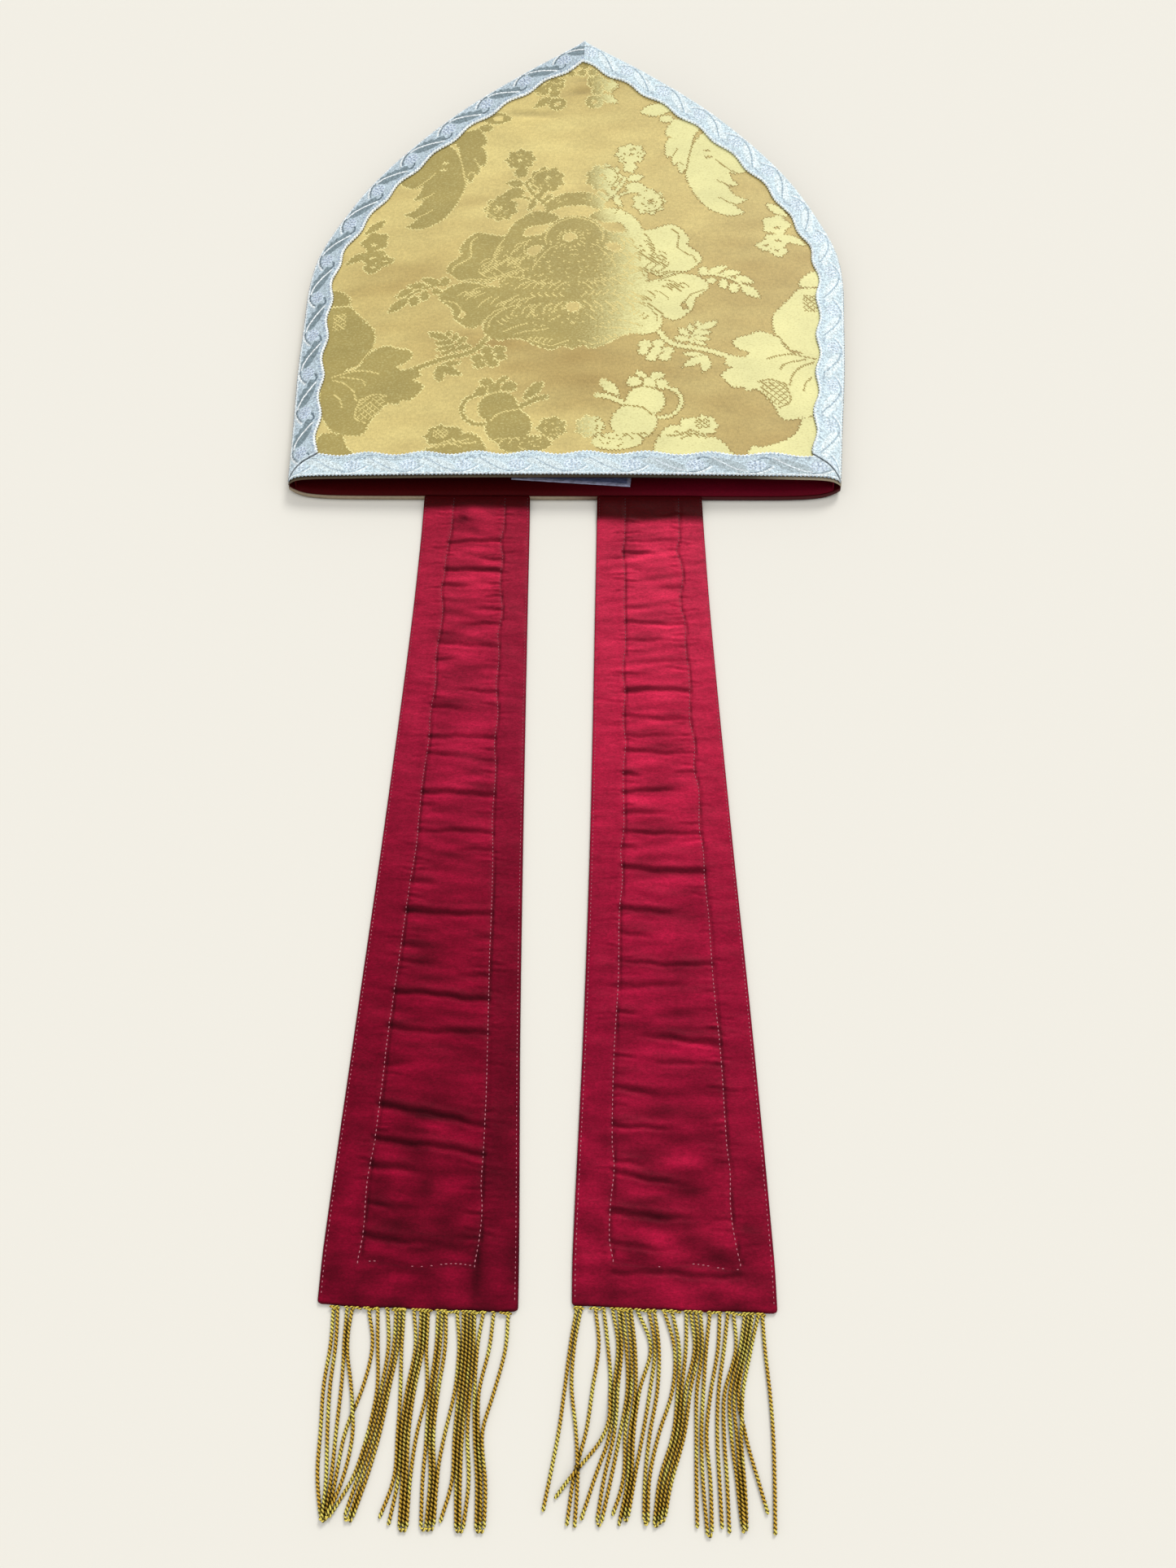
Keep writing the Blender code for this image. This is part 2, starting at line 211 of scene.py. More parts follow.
def grid_faces(rows, columns, start=0):
    r, c = np.meshgrid(np.arange(rows - 1), np.arange(columns - 1), indexing="ij")
    a = (start + r * columns + c).ravel()
    return np.stack([a, a + 1, a + columns + 1, a + columns], 1)


def rim_of_grid(rows, columns):
    """The indices around a grid's border, in order."""
    index = np.arange(rows * columns).reshape(rows, columns)
    return np.concatenate([index[0], index[1:, -1], index[-1, -2::-1], index[-2:0:-1, 0]])


def closed_sheet(name, upper, lower, slot):
    """A closed solid between two grids of points that have the same rows and columns."""
    rows, columns = upper.shape[:2]
    count = rows * columns
    border = rim_of_grid(rows, columns)
    after = np.roll(border, -1)
    sides = np.stack([border, border + count, after + count, after], 1)
    underside = grid_faces(rows, columns, count)[:, ::-1]
    faces = np.concatenate([grid_faces(rows, columns), underside, sides])
    points = np.concatenate([upper.reshape(-1, 3), lower.reshape(-1, 3)])
    return add_mesh(name, points, faces, slot)


def top_and_base(upper, base):
    """A sheet with a fine top and a plain base: one face across for each row."""
    rows, columns = upper.shape[:2]
    border = rim_of_grid(rows, columns)
    lower = np.concatenate([upper[..., :2], base[..., None]], 2).reshape(-1, 3)[border]
    count = rows * columns
    ring = np.arange(len(border))
    after = np.roll(ring, -1)
    faces = grid_faces(rows, columns).tolist()
    faces += np.stack([border[ring], count + ring, count + after, border[after]], 1).tolist()
    right_side = [columns - 1 + k for k in range(rows)]
    left_side = [0] + [len(border) - k for k in range(1, rows)]
    faces.append([count + k for k in (*range(columns - 1, -1, -1), left_side[1], right_side[1])])
    for k in range(1, rows - 2):
        corners = (left_side[k], left_side[k + 1], right_side[k + 1], right_side[k])
        faces.append([count + corner for corner in corners])
    last = range(right_side[-1], left_side[-1] + 1)
    faces.append([count + k for k in (right_side[-2], left_side[-2], *reversed(last))])
    return np.concatenate([upper.reshape(-1, 3), lower]), faces


BLOCK_SIDES = ((0, 1, 2, 3), (7, 6, 5, 4), (0, 4, 5, 1), (1, 5, 6, 2), (2, 6, 7, 3), (3, 7, 4, 0))


def add_blocks(name, blocks, surface, rise, slot, look):
    """A small closed solid on each rectangle (x0, y0, x1, y1), with its foot in the cloth."""
    corners = blocks[:, [0, 1, 2, 1, 2, 3, 0, 3]].reshape(-1, 2)
    upper = surface(*corners.T) + (0, 0, rise)
    lower = upper - (0, 0, rise + BLOCK_FOOT)
    points = np.concatenate([upper.reshape(-1, 4, 3), lower.reshape(-1, 4, 3)], 1).reshape(-1, 3)
    faces = (8 * np.arange(len(blocks))[:, None, None] + np.array(BLOCK_SIDES)).reshape(-1, 4)
    item = add_mesh(name, points, faces, slot, look)
    item.data.shade_flat()
    return item


# Materials

SPECK_SCALE = 1100
SPECK_STRETCH = (0.7, 1, 1)
SPECK_SWAY = 0.35


def srgb(red, green, blue):
    """A screen colour, 0 to 255, as linear values."""
    value = np.array([red, green, blue], float) / 255
    return np.where(value <= 0.04045, value / 12.92, ((value + 0.055) / 1.055) ** 2.4)


def new_material(name, roughness, specular):
    material = bpy.data.materials.new(name)
    material.use_nodes = True
    shader = material.node_tree.nodes["Principled BSDF"]
    shader.inputs["Roughness"].default_value = roughness
    shader.inputs["Specular IOR Level"].default_value = specular
    return material, material.node_tree, shader


def add_node(tree, kind, links=(), inputs=(), **settings):
    """A node with its settings, constant inputs and links from other nodes' outputs."""
    node = tree.nodes.new(kind)
    for key, value in settings.items():
        setattr(node, key, value)
    for key, value in dict(inputs).items():
        node.inputs[key].default_value = value
    for key, output in dict(links).items():
        tree.links.new(output, node.inputs[key])
    return node


def noise(tree, scale, stretch, detail, roughness):
    """A grey noise over the piece's own metres."""
    place = add_node(tree, "ShaderNodeTexCoord").outputs["Object"]
    mapping = add_node(tree, "ShaderNodeMapping", {"Vector": place}, {"Scale": stretch})
    links = {"Vector": mapping.outputs["Vector"]}
    inputs = {"Scale": scale, "Detail": detail, "Roughness": roughness}
    return add_node(tree, "ShaderNodeTexNoise", links, inputs).outputs["Fac"]


def remap(tree, value, half_range, middle, reach):
    """A noise that mostly lies within half_range of 0.5, as one that lies within reach of middle."""
    low, high = middle - reach, middle + reach
    inputs = {"From Min": 0.5 - half_range, "From Max": 0.5 + half_range, "To Min": low, "To Max": high}
    return add_node(tree, "ShaderNodeMapRange", {"Value": value}, inputs).outputs["Result"]


def varied(tree, colour, grain, spread):
    """A colour made up to that share darker and lighter by a noise."""
    factor = remap(tree, grain, 0.2, 1, spread)
    product = add_node(tree, "ShaderNodeVectorMath", {0: colour, 1: factor}, operation="MULTIPLY")
    return product.outputs["Vector"]


def tone(tree):
    """The colours that paint() has stored on the piece."""
    return add_node(tree, "ShaderNodeVertexColor", layer_name="tone").outputs["Color"]


def cloth_material(name, roughness, specular, grain, mottles=(), turned=None):
    """Woven cloth: the piece's own colours, varied by a fine grain that also lifts the surface
    and by coarser mottles (scale, stretch, spread). A cloth given the dull and bright colours of a
    painted sheen, turned, has two colours instead, and the piece says how far it has turned from the one to
    the other."""
    material, tree, shader = new_material(name, roughness, specular)
    scale, stretch, spread, depth = grain
    fine = noise(tree, scale, stretch, 3.0, 0.6)
    colour = painted_sheen_colour(tree, turned) if turned else tone(tree)
    colour = varied(tree, colour, fine, spread)
    for scale, stretch, spread in mottles:
        colour = varied(tree, colour, noise(tree, scale, stretch, 2.0, 0.5), spread)
    tree.links.new(colour, shader.inputs["Base Color"])
    raised = add_node(tree, "ShaderNodeBump", {"Height": fine}, {"Strength": 1.0, "Distance": depth})
    tree.links.new(raised.outputs["Normal"], shader.inputs["Normal"])
    return material


def painted_sheen_colour(tree, colours):
    """Between the dull and the bright colour of a painted sheen, by the piece's tone, broken up into specks
    of one or the other.
    """
    specks = noise(tree, SPECK_SCALE, SPECK_STRETCH, 2.0, 0.6)
    sway = remap(tree, specks, 0.25, 0, SPECK_SWAY)
    moved = add_node(tree, "ShaderNodeMath", {0: tone(tree), 1: sway}, operation="ADD")
    ramp = add_node(tree, "ShaderNodeValToRGB")
    for stop, colour in zip(ramp.color_ramp.elements, colours):
        stop.color = (*colour, 1)
    tree.links.new(moved.outputs["Value"], ramp.inputs["Fac"])
    return ramp.outputs["Color"]


# The damask's pattern. Each figure is drawn for one half of the cloth, in mm across
# from the pattern's axis and up from the rim, and the other half mirrors it.

EYE_PLACE = (-2.5, 185)
EYE_TEETH = 16
EYE_RING = (6.2, 8.8)  # from and to, mm from its middle
PATTERN_TILT = 0.03
PATTERN_PIVOT = 170
PATTERN_SKEW = 0.05
CELL = 0.7  # one thread of the weave
WEAVE_ACROSS = (-150, 150)
WEAVE_UP = (8, 345)
TOOTH = 0.65  # how far the figures' outlines step in and out
TOOTH_STEP = 2.2
THREAD = 1.1  # how wide most single threads look
LATTICE_THREAD = 0.9
UNDER_GALLOON = 6  # the figures stop this far in from the edge, where the galloon hides them
LONGEST_FLOAT = 11  # cells
HATCH_BEND = 0.15
PETAL_DEPTH = 0.12


def smooth_line(points, steps=6):
    """Points along a smooth curve through the given ones."""
    p = np.array(points, float)
    if len(p) == 2:
        return p
    p = np.concatenate([[2 * p[0] - p[1]], p, [2 * p[-1] - p[-2]]])
    t = np.linspace(0, 1, steps, endpoint=False)[:, None]
    parts = []
    for a, b, c, d in zip(p, p[1:], p[2:], p[3:]):
        second, third = 2 * a - 5 * b + 4 * c - d, 3 * b - a - 3 * c + d
        parts.append(0.5 * (2 * b + (c - a) * t + second * t**2 + third * t**3))
    return np.concatenate([*parts, p[-2:-1]])


def outline(*strokes):
    """A closed shape of smooth strokes, each of which starts at the corner where the last ended."""
    ends = [[], *([stroke[-1]] for stroke in strokes)]
    return np.concatenate([smooth_line([*end, *stroke]) for end, stroke in zip(ends, strokes)])


def blob(x, y, rx, ry, petals=0):
    """An ellipse, or a flower with that many petals."""
    t = np.linspace(0, 2 * np.pi, 48, endpoint=False)
    radius = 1 + PETAL_DEPTH * np.cos(petals * t) if petals else np.ones_like(t)
    return np.stack([x + rx * radius * np.cos(t), y + ry * radius * np.sin(t)], 1)


def leaf(x0, y0, x1, y1, width):
    """A pointed leaf between two points."""
    t = np.linspace(0, 1, 12)[:, None]
    start, end = np.array([x0, y0], float), np.array([x1, y1], float)
    along = end - start
    side = np.array([-along[1], along[0]]) / np.linalg.norm(along)
    bulge = side * width / 2 * np.sin(np.pi * t**0.85)
    spine = start + along * t
    return np.concatenate([spine + bulge, (spine - bulge)[::-1]])


def stem(width, *points):
    """A band of even width along a smooth curve."""
    line = smooth_line(points)
    along = np.gradient(line, axis=0)
    side = np.stack([-along[:, 1], along[:, 0]], 1)
    side *= width / 2 / np.maximum(np.linalg.norm(side, axis=1, keepdims=True), 1e-9)
    return np.concatenate([line + side, (line - side)[::-1]])


def flecks(x, y, rx, ry, count, dx, dy, seed):
    """Short threads scattered over an ellipse, all lying along (dx, dy)."""
    rng = np.random.default_rng(seed)
    shapes = []
    for _ in range(count):
        angle, reach = rng.uniform(0, 2 * np.pi), math.sqrt(rng.uniform())
        a, b = x + rx * reach * math.cos(angle), y + ry * reach * math.sin(angle)
        k = rng.uniform(0.6, 1.2)
        shapes.append(stem(THREAD, (a, b), (a + dx * k, b + dy * k)))
    return shapes


def hatching(x, y, step_x, step_y, count, dx, dy):
    """A row of slightly curved parallel threads."""
    shapes = []
    for k in range(count):
        a, b = x + step_x * k, y + step_y * k
        middle = (a + dx / 2 - dy * HATCH_BEND, b + dy / 2 + dx * HATCH_BEND)
        shapes.append(stem(THREAD, (a, b), middle, (a + dx, b + dy)))
    return shapes


def lattice(x, y, width, height, pitch):
    """Crossed diagonal threads that fill a box."""
    shapes = []
    reach = width + height
    for k in np.arange(0, reach, pitch):
        low, high = max(0.0, k - height), min(width, k)
        if high - low > 0.5:
            falling = (x + low, y + k - low), (x + high, y + k - high)
            rising = (x + low, y + height - k + low), (x + high, y + height - k + high)
            shapes += [stem(LATTICE_THREAD, *falling), stem(LATTICE_THREAD, *rising)]
    return shapes


def large_leaves():
    """The two large leaves under the point."""
    wing = outline(
        [(82, 276), (75, 266), (70, 256), (68, 245), (69.5, 234), (74, 221), (80, 210.5), (87, 204.5),
         (95, 201.5), (104, 204)],
        [(100, 207.5), (97, 211)], [(101, 212.5), (105.5, 215.5)], [(98, 219.5), (93.5, 229)],
        [(97, 227.8), (101, 228.5)], [(97, 234), (95, 241)], [(99, 238.5), (104, 239)],
        [(110, 246), (100, 268), (90, 280), (82, 276)],
    )
    feather = outline(
        [(62, 286), (59, 281), (57, 276), (57.5, 272.5), (60.5, 271)],
        [(57.5, 267), (56.5, 262), (57, 254.5), (61, 255)], [(60.5, 250), (61.5, 247), (64, 249.5)],
        [(64, 245), (66, 240), (69, 247)],
        [(71, 254), (73, 260), (73.5, 266), (75, 272), (80, 282), (62, 286)],
    )
    return [wing, feather]


def outer_petals():
    """The shoulder leaf and the rose's outer petals."""
    shoulder = outline(
        [(42, 190), (49, 191.5), (57, 194.5), (62, 193), (66, 188), (69, 181), (67, 176.5)],
        [(70, 173), (74.5, 168), (76, 163), (73, 159), (68, 154), (60, 152), (50, 150), (40, 160),
         (38, 176), (42, 190)],
    )
    petal = outline(
        [(50, 147), (58, 150.5), (66, 151), (73, 148.5), (78, 144), (79, 139), (76, 135)],
        [(71, 130), (69.5, 123), (65, 117), (59, 113), (54, 115), (49, 119), (34, 126), (38, 142),
         (50, 147)],
    )
    curl = outline(
        [(50, 119), (51.5, 113), (50, 107), (46, 103.5), (41, 102), (36, 103), (30, 102.5), (26, 100)],
        [(20, 96), (12, 92.5), (6, 95.5), (-2, 98), (-2, 160), (30, 150), (50, 119)],
    )
    return [shoulder, petal, curl]


def rose():
    """The rose's heart, and the arch and collar above it."""
    heart = outline(
        [(-2, 205), (5, 204.5), (10, 202), (14, 198), (17, 193), (20, 190)],
        [(28, 189), (36, 191), (42, 190), (44, 160), (40, 130), (20, 120), (-2, 110), (-2, 205)],
    )
    arch = outline(
        [(-2, 226), (6, 226), (12, 223), (16.5, 219), (18, 214), (17, 210)],
        [(12, 212), (7, 214.5), (-2, 215)],
    )
    collar = outline(
        [(9, 204.5), (13, 208), (19, 210.5), (26, 210.5), (32, 206.5), (37, 201), (40, 195), (40.5, 189)],
        [(34, 189), (31, 192), (29.5, 196), (25, 198.5), (19, 199), (13, 201), (9, 204.5)],
    )
    return [heart, arch, collar]


def border_leaves():
    """The leaves and the bloom by the panel's side and rim."""
    pear = outline(
        [(145, 139), (134, 138.5), (129, 134), (125, 128), (119.5, 122), (116, 116), (115, 109),
         (116, 102)],
        [(118, 96), (122, 91), (128, 88), (145, 86), (145, 139)],
    )
    lobes = outline(
        [(126, 86), (121, 90), (117.5, 97), (113, 101), (107, 103), (100, 100)],
        [(94, 98), (91.5, 94), (95, 89), (101, 86.5)],
        [(97, 83), (91, 83.5), (87, 81), (86.5, 77), (91, 75)],
        [(84, 70.5), (86, 65), (90, 60.5), (96, 60.5)],
        [(98, 57.5), (103, 59), (108, 53), (113, 45), (114, 40), (118, 36.5), (125, 37.5)],
        [(134, 42), (142, 60), (142, 84), (126, 86)],
    )
    corner = outline(
        [(127, 38), (124.5, 30), (120, 24), (112, 19.5), (104, 17), (98, 18)],
        [(99, 10), (140, 10), (140, 38), (127, 38)],
    )
    bloom = outline(
        [(44, 12), (47, 24), (51, 31), (57, 34), (63, 31)],
        [(70, 26), (80, 23.5), (86, 15), (86, 10), (44, 12)],
    )
    return [pear, lobes, corner, bloom]


def side_leaves():
    """Small leaves down the panel's side, from near the point."""
    return [
        leaf(41, 293, 64, 296, 10), blob(57.5, 286.5, 4.2, 3), leaf(117, 212, 130, 200, 6),
        leaf(126, 184, 139, 175, 5.5), outline([(145, 154), (137, 150), (132.5, 140.5), (145, 140.5)]),
    ]


def small_flowers():
    """Small flowers with their stems and leaves."""
    return [
        blob(34.5, 257.5, 8.7, 8, 8), blob(18, 238.5, 10.5, 10.5, 9), blob(45.5, 215.5, 9.5, 10.5, 9),
        blob(34, 246.5, 4, 4.5, 5), leaf(32, 236, 43, 238, 6), leaf(31, 230, 46, 226.5, 9),
        blob(122, 193, 8, 8, 5), blob(122, 179.5, 7.4, 6, 5), blob(114.5, 175, 5, 4, 4),
        blob(122, 170, 5, 4.4, 4), stem(2.0, (31, 238), (28, 230), (22, 222), (17, 216)),
        stem(1.8, (39, 226), (31, 224), (24, 219)), leaf(19, 229, 26, 221, 4), leaf(24, 221, 29, 212, 4),
        leaf(14, 226, 20, 219, 3.5),
    ]


def point_clusters():
    """Clusters of buds under the point, with a leaf."""
    return [
        blob(5.5, 334, 3.2, 3), blob(10.5, 328, 2.8, 2.6), blob(3.5, 328, 2.5, 2.5),
        blob(13, 320, 5.6, 5, 5), blob(22, 316, 4.6, 5, 5), blob(14, 312, 3.4, 3), blob(12, 303, 5.5, 5),
        leaf(16, 309, 27, 301, 6),
    ]


def sprig():
    """The sprig beside the rose."""
    return [
        stem(1.7, (74, 151), (84, 150), (92, 147), (98, 142), (103, 137)), blob(76.5, 153, 2.6, 3.8),
        leaf(79, 151, 91, 157.5, 5), leaf(87, 151, 99, 151.5, 5), leaf(95, 148.5, 106, 142.5, 5.5),
        leaf(98, 141, 109, 130, 6.5), blob(88, 142, 2.6, 4), blob(94, 138.5, 3, 3.8),
        blob(81, 145, 2.6, 2.4),
    ]


def berry_branch():
    """The branch with berries and leaves under the rose."""
    return [
        stem(3.0, (49, 105), (54, 97), (61, 92.5), (74, 89.5), (90, 83)),
        *(blob(x, y, r, r * 0.9) for x, y, r in BERRIES), stem(1.5, (67, 92), (69, 101), (74, 108)),
        leaf(61, 106, 67, 100, 4.5), leaf(58, 99, 68, 96.5, 4.5), leaf(72, 105, 84, 111.5, 5),
        leaf(69, 102, 80, 102.5, 4), leaf(68, 99, 79, 97, 3.6), blob(71.8, 109.5, 1.6, 2),
        leaf(67, 109.5, 68.5, 103, 3.4), leaf(68, 96, 77, 93, 3), leaf(74, 85.5, 62, 86, 3.4),
        leaf(77, 84.5, 62, 76, 5.5), leaf(76.5, 83, 74, 71.5, 5.5),
    ]


def pomegranate():
    """The pomegranate with its crown and handle, and the flowers and leaves around it."""
    return [
        blob(41, 51.5, 10.8, 10.5), blob(34.5, 37, 12.6, 12.4), blob(35, 65.5, 4, 3.8),
        blob(44, 64.8, 4.8, 3.6), blob(50.3, 63.3, 3.6, 3.4), leaf(35.5, 73.5, 43.5, 67.5, 3.6),
        blob(48, 69.8, 3.8, 2.6),
        stem(2.0, (53, 61), (58.5, 58), (61, 51), (58.5, 44), (53, 40), (47, 39.5)),
        leaf(16, 68, 27, 55.5, 6.5), stem(3.0, (13, 57), (21, 55), (31, 49)), blob(10.5, 35, 7.6, 7.2, 7),
        blob(25, 24, 14, 6), blob(72, 33, 8, 7, 8), blob(63.5, 34.5, 3.6, 4),
    ]


FIGURES = (
    large_leaves, outer_petals, rose, border_leaves, side_leaves, small_flowers, point_clusters,
    sprig, berry_branch, pomegranate,
)
BERRIES = (
    # across, up, radius
    (41.5, 94, 3.7), (49, 94.5, 3.4), (40.5, 88.8, 3.0), (47.6, 88.8, 3.3), (54.4, 88.8, 3.1),
    (45, 84, 3.2), (52.5, 84, 3.3),
)


def openings():
    """Places inside the figures where the ground shows."""
    return [
        blob(35, 257, 1.3, 1.3), blob(17, 240.5, 1.3, 1.6), blob(46.5, 216, 2, 1.4, 3),
        outline([(15, 197), (19, 192.5), (26, 191), (29, 194), (25, 197.5), (19, 199)]),
        outline([(18, 180), (23, 181), (28, 178), (28.5, 174), (24, 171.5), (20, 174.5)]),
        blob(0, 126.4, 4.8, 4.6), blob(122.5, 190.5, 2, 1.2), blob(122.5, 179, 2, 1),
        blob(115, 175, 2, 0.9), blob(121.5, 170.5, 1.6, 1), blob(53, 106.5, 2, 3),
        blob(82.5, 258.5, 2.2, 1.0), blob(83, 253, 2.6, 1.0), blob(12, 303, 2.2, 2),
        outline([(62, 126), (64, 121), (67, 123), (65, 128)]),
    ]


def leaf_feathers():
    """Feathers of the large leaves."""
    return [
        stem(1.1, (88, 218.5), (92, 215), (98, 211.5)), stem(1.1, (88, 233.5), (92, 230), (98, 227.6)),
        stem(1.1, (88, 251), (92, 246), (100, 238.5)),
        stem(1.3, (75.5, 271), (73, 262), (71, 253), (69.5, 244), (67.5, 238)),
        stem(1.0, (61, 254), (64, 261)), stem(1.0, (65, 250), (68, 246.5)),
    ]


def petal_edges():
    """Folded edges of the shoulder leaf and the outer petals."""
    return [
        stem(1.2, (59, 191), (62.5, 186), (62.5, 180), (62, 174), (66, 169.5), (71, 166), (73, 161)),
        stem(1.1, (42, 188), (44.5, 183.5), (47, 177.5), (48, 172.5), (46.2, 166.5), (48, 163)),
        stem(1.1, (48, 163), (44, 159.7), (41, 156), (36, 153.6), (30, 152), (26, 150.6), (21, 148),
            (17, 145.4)),
        stem(1.1, (50, 149.5), (56, 152.2), (62, 153.4), (70, 151.5), (76, 148.2)),
        stem(1.1, (77, 137.3), (70, 134.5), (66, 129.5), (63.5, 125.5), (67, 121.5)),
        stem(1.1, (30, 130.5), (36, 128.7), (41, 127.5), (45, 125.8), (49, 121.5), (52, 117.5)),
        stem(1.0, (38, 127.6), (42, 125.4), (46, 121.2), (48.5, 116.6), (48.5, 112)),
        stem(1.1, (26, 114.2), (31, 113), (36, 110.7), (40, 108.5)),
        stem(1.0, (14, 109.5), (20, 108), (27, 107.7), (33, 106)),
        stem(1.0, (2, 99), (8, 97), (12, 95.2), (19, 98), (26, 102)),
    ]


def rose_petals():
    """The rose's round petals, from its crown down."""
    return [
        stem(1.1, (-1, 204.6), (5.5, 202.4), (10, 200), (13, 197.4), (15, 194), (16.7, 190.5),
            (17.6, 186), (16.5, 181)),
        stem(1.1, (10, 179.6), (14, 177.8), (17, 174), (19.5, 170), (22, 166), (24, 162), (24.6, 158.5)),
        stem(1.0, (38, 173), (36, 177), (32, 180.6)),
        stem(1.0, (30, 181.5), (29.5, 174), (25, 171.5), (22.5, 169), (24, 166)),
        stem(1.0, (37.5, 171), (34, 164.7), (30, 159.5)),
        stem(1.0, (30, 188.5), (26.5, 190.4), (23, 187.5)),
    ]


def rose_shading():
    """Shading where the rose's outer petals fold."""
    return [
        stem(1.0, (54, 165.7), (52, 161.6), (48, 157.9), (45.5, 154.8)),
        stem(1.0, (57, 161.9), (55, 157.8), (52, 155.1), (49, 153.5)),
        stem(1.0, (57, 153.9), (53, 152.7), (49, 152)), stem(1.0, (61, 150.5), (55, 148.8), (50, 145.5)),
        stem(1.0, (48, 137.6), (52, 134.9), (56, 129.7)),
        stem(1.0, (43, 138), (46.5, 134.5), (48.5, 131)),
        stem(1.0, (32, 138), (36, 135.4), (40, 132.6), (43, 129.5)),
    ]


def lobed_leaf_veins():
    """Veins of the big lobed leaf."""
    return [
        stem(1.2, (110, 81.5), (116, 84), (124, 85.5), (131, 84), (138, 82.5)),
        stem(1.2, (117, 73.5), (120, 78), (126, 80), (133, 82)),
        stem(1.2, (121.5, 62), (124, 70), (129, 76), (137, 80)),
        stem(1.1, (129, 58), (131, 64), (135, 69)), stem(1.2, (117, 100), (121, 93), (125, 86)),
        stem(1.2, (104, 64), (110, 66), (116, 64), (120, 60), (121, 50), (114.5, 45)),
    ]


def pomegranate_veins():
    """Veins of the pomegranate and its handle."""
    return [
        stem(1.2, (24, 49.5), (33, 48.3), (40, 46.5), (45, 41.5)),
        stem(1.2, (31, 61.5), (41, 62), (50, 58.5)), stem(1.0, (39.8, 68), (39.5, 61.5)),
        stem(1.0, (46.8, 67), (47.5, 60.5)),
    ]


def bloom_veins():
    """Veins of the bloom at the rim."""
    return [
        stem(1.1, (52, 27), (58, 26.5), (66, 29.5), (72, 27), (80, 27)),
        stem(1.1, (60, 24), (64, 26.5), (70, 29)),
    ]


DRAWN_THREADS = (
    leaf_feathers, petal_edges, rose_petals, rose_shading, lobed_leaf_veins, pomegranate_veins,
    bloom_veins,
)


def threads():
    """Single threads that draw veins, petals and shading inside the figures."""
    shapes = [shape for group in DRAWN_THREADS for shape in group()]
    # round petals of the small flowers
    for x, y, rx, ry, start, end in FLOWER_ARCS:
        t = np.linspace(math.radians(start), math.radians(end), 9)
        shapes.append(stem(THREAD, *zip(x + rx * np.cos(t), y + ry * np.sin(t))))
    for row in HATCHINGS:
        shapes += hatching(*row)
    for row in FLECKS:
        shapes += flecks(*row)
    for row in LATTICES:
        shapes += lattice(*row)
    return shapes


def eye_teeth():
    """The short threads that stand around the rose's eye."""
    x, y = EYE_PLACE
    shapes = []
    for k in range(EYE_TEETH):
        angle = 2 * math.pi * k / EYE_TEETH
        ends = [(x + reach * math.cos(angle), y + reach * math.sin(angle)) for reach in EYE_RING]
        shapes.append(stem(THREAD, *ends))
    return shapes


FLOWER_ARCS = (
    # centre, radii, from angle, to angle
    (18, 238.5, 8.6, 8.6, -60, 110), (46, 215.5, 8, 8.6, -120, 60),
)
EYE_OPENING = outline(
    [(-7, 184.5), (-6.4, 189), (-2.5, 191), (1.2, 189), (2.2, 185)],
    [(-0.5, 184.4), (-3, 182.2), (-7, 184.5)],
)
HATCHINGS = (
    # start, step from one to the next, count, run of each
    (53, 146, 1.4, -3.1, 3, 7.5, -3.4), (3, 147, 4.6, 0.4, 6, 7.0, -5.5), (46, 164, -2.4, 1.6, 4, 8, -7),
    (22, 136, 4.4, -0.6, 5, 6, -5), (24, 173, 4.0, -0.8, 6, 3.6, -5), (31, 161, 3.8, -1.6, 5, 5, -5.5),
    (52, 141, 3.4, 0.8, 4, 6, -3.6), (8, 139, 4.2, 0.2, 5, -3.4, -4.2), (6, 130.8, 6.2, -0.4, 5, 5, -8),
    (36, 123.5, 2.6, -2.0, 4, -3.6, -3.0), (42, 181, 1.2, -3.0, 6, 3.6, -3.4),
    (50.5, 171, -0.2, -3.2, 4, 5, -3.6), (27, 161, 3.5, -1.5, 4, 3.4, -4.6),
    (26, 186, 3.4, -1.2, 3, 3, -5), (29, 170, 3.6, -1.2, 3, 3.4, -5), (11, 101, 3.0, 0.5, 5, 2.4, -3.2),
    (28, 29, 5, 0, 4, 6, -3.4), (56, 29.5, 4.4, -1.0, 4, 5, -3),
)
FLECKS = (
    # centre, radii, count, run of each, seed
    (20, 160, 18, 14, 26, 1.6, 0.5, 1), (10, 172, 12, 10, 16, 1.6, -0.6, 2),
    (16, 124, 16, 7, 26, 1.5, -1.7, 3), (30, 207, 6, 4, 8, 1.4, 0.8, 4), (18, 238, 8, 8, 14, 1.4, 0.9, 5),
    (45, 215, 8, 8, 16, 1.2, 1.0, 6), (34, 257, 7, 6, 12, 1.3, 1.0, 7), (13, 318, 6, 6, 12, 1.2, 1.2, 8),
    (22, 315, 4, 5, 8, 1.2, 1.0, 9), (11, 35, 7, 7, 22, 1.0, 1.2, 10), (22, 25, 12, 5, 22, 1.4, -0.8, 11),
    (10, 220, 8, 4, 8, 1.4, -0.6, 12), (30, 152, 20, 8, 22, 1.8, -1.2, 13),
    (36, 178, 6, 12, 12, 1.6, -1.4, 14), (4, 150, 16, 10, 22, 1.5, 0.6, 15),
    (12, 186, 10, 9, 12, 1.4, 0.8, 16), (10, 112, 14, 6, 12, 1.4, -0.8, 17),
)
LATTICES = (
    # corner, size, pitch
    (105, 48, 15, 16, 4.2), (133.5, 120, 8, 13, 3.4), (68, 31, 8, 7, 3.0),
)


def inside(shape, x, y):
    """Which of the points lie inside a closed shape."""
    found = np.zeros(x.shape, bool)
    for (x0, y0), (x1, y1) in zip(shape, np.roll(shape, -1, axis=0)):
        if y0 != y1:
            crosses = (y0 > y) != (y1 > y)
            found ^= crosses & (x < (x1 - x0) * (y - y0) / (y1 - y0) + x0)
    return found


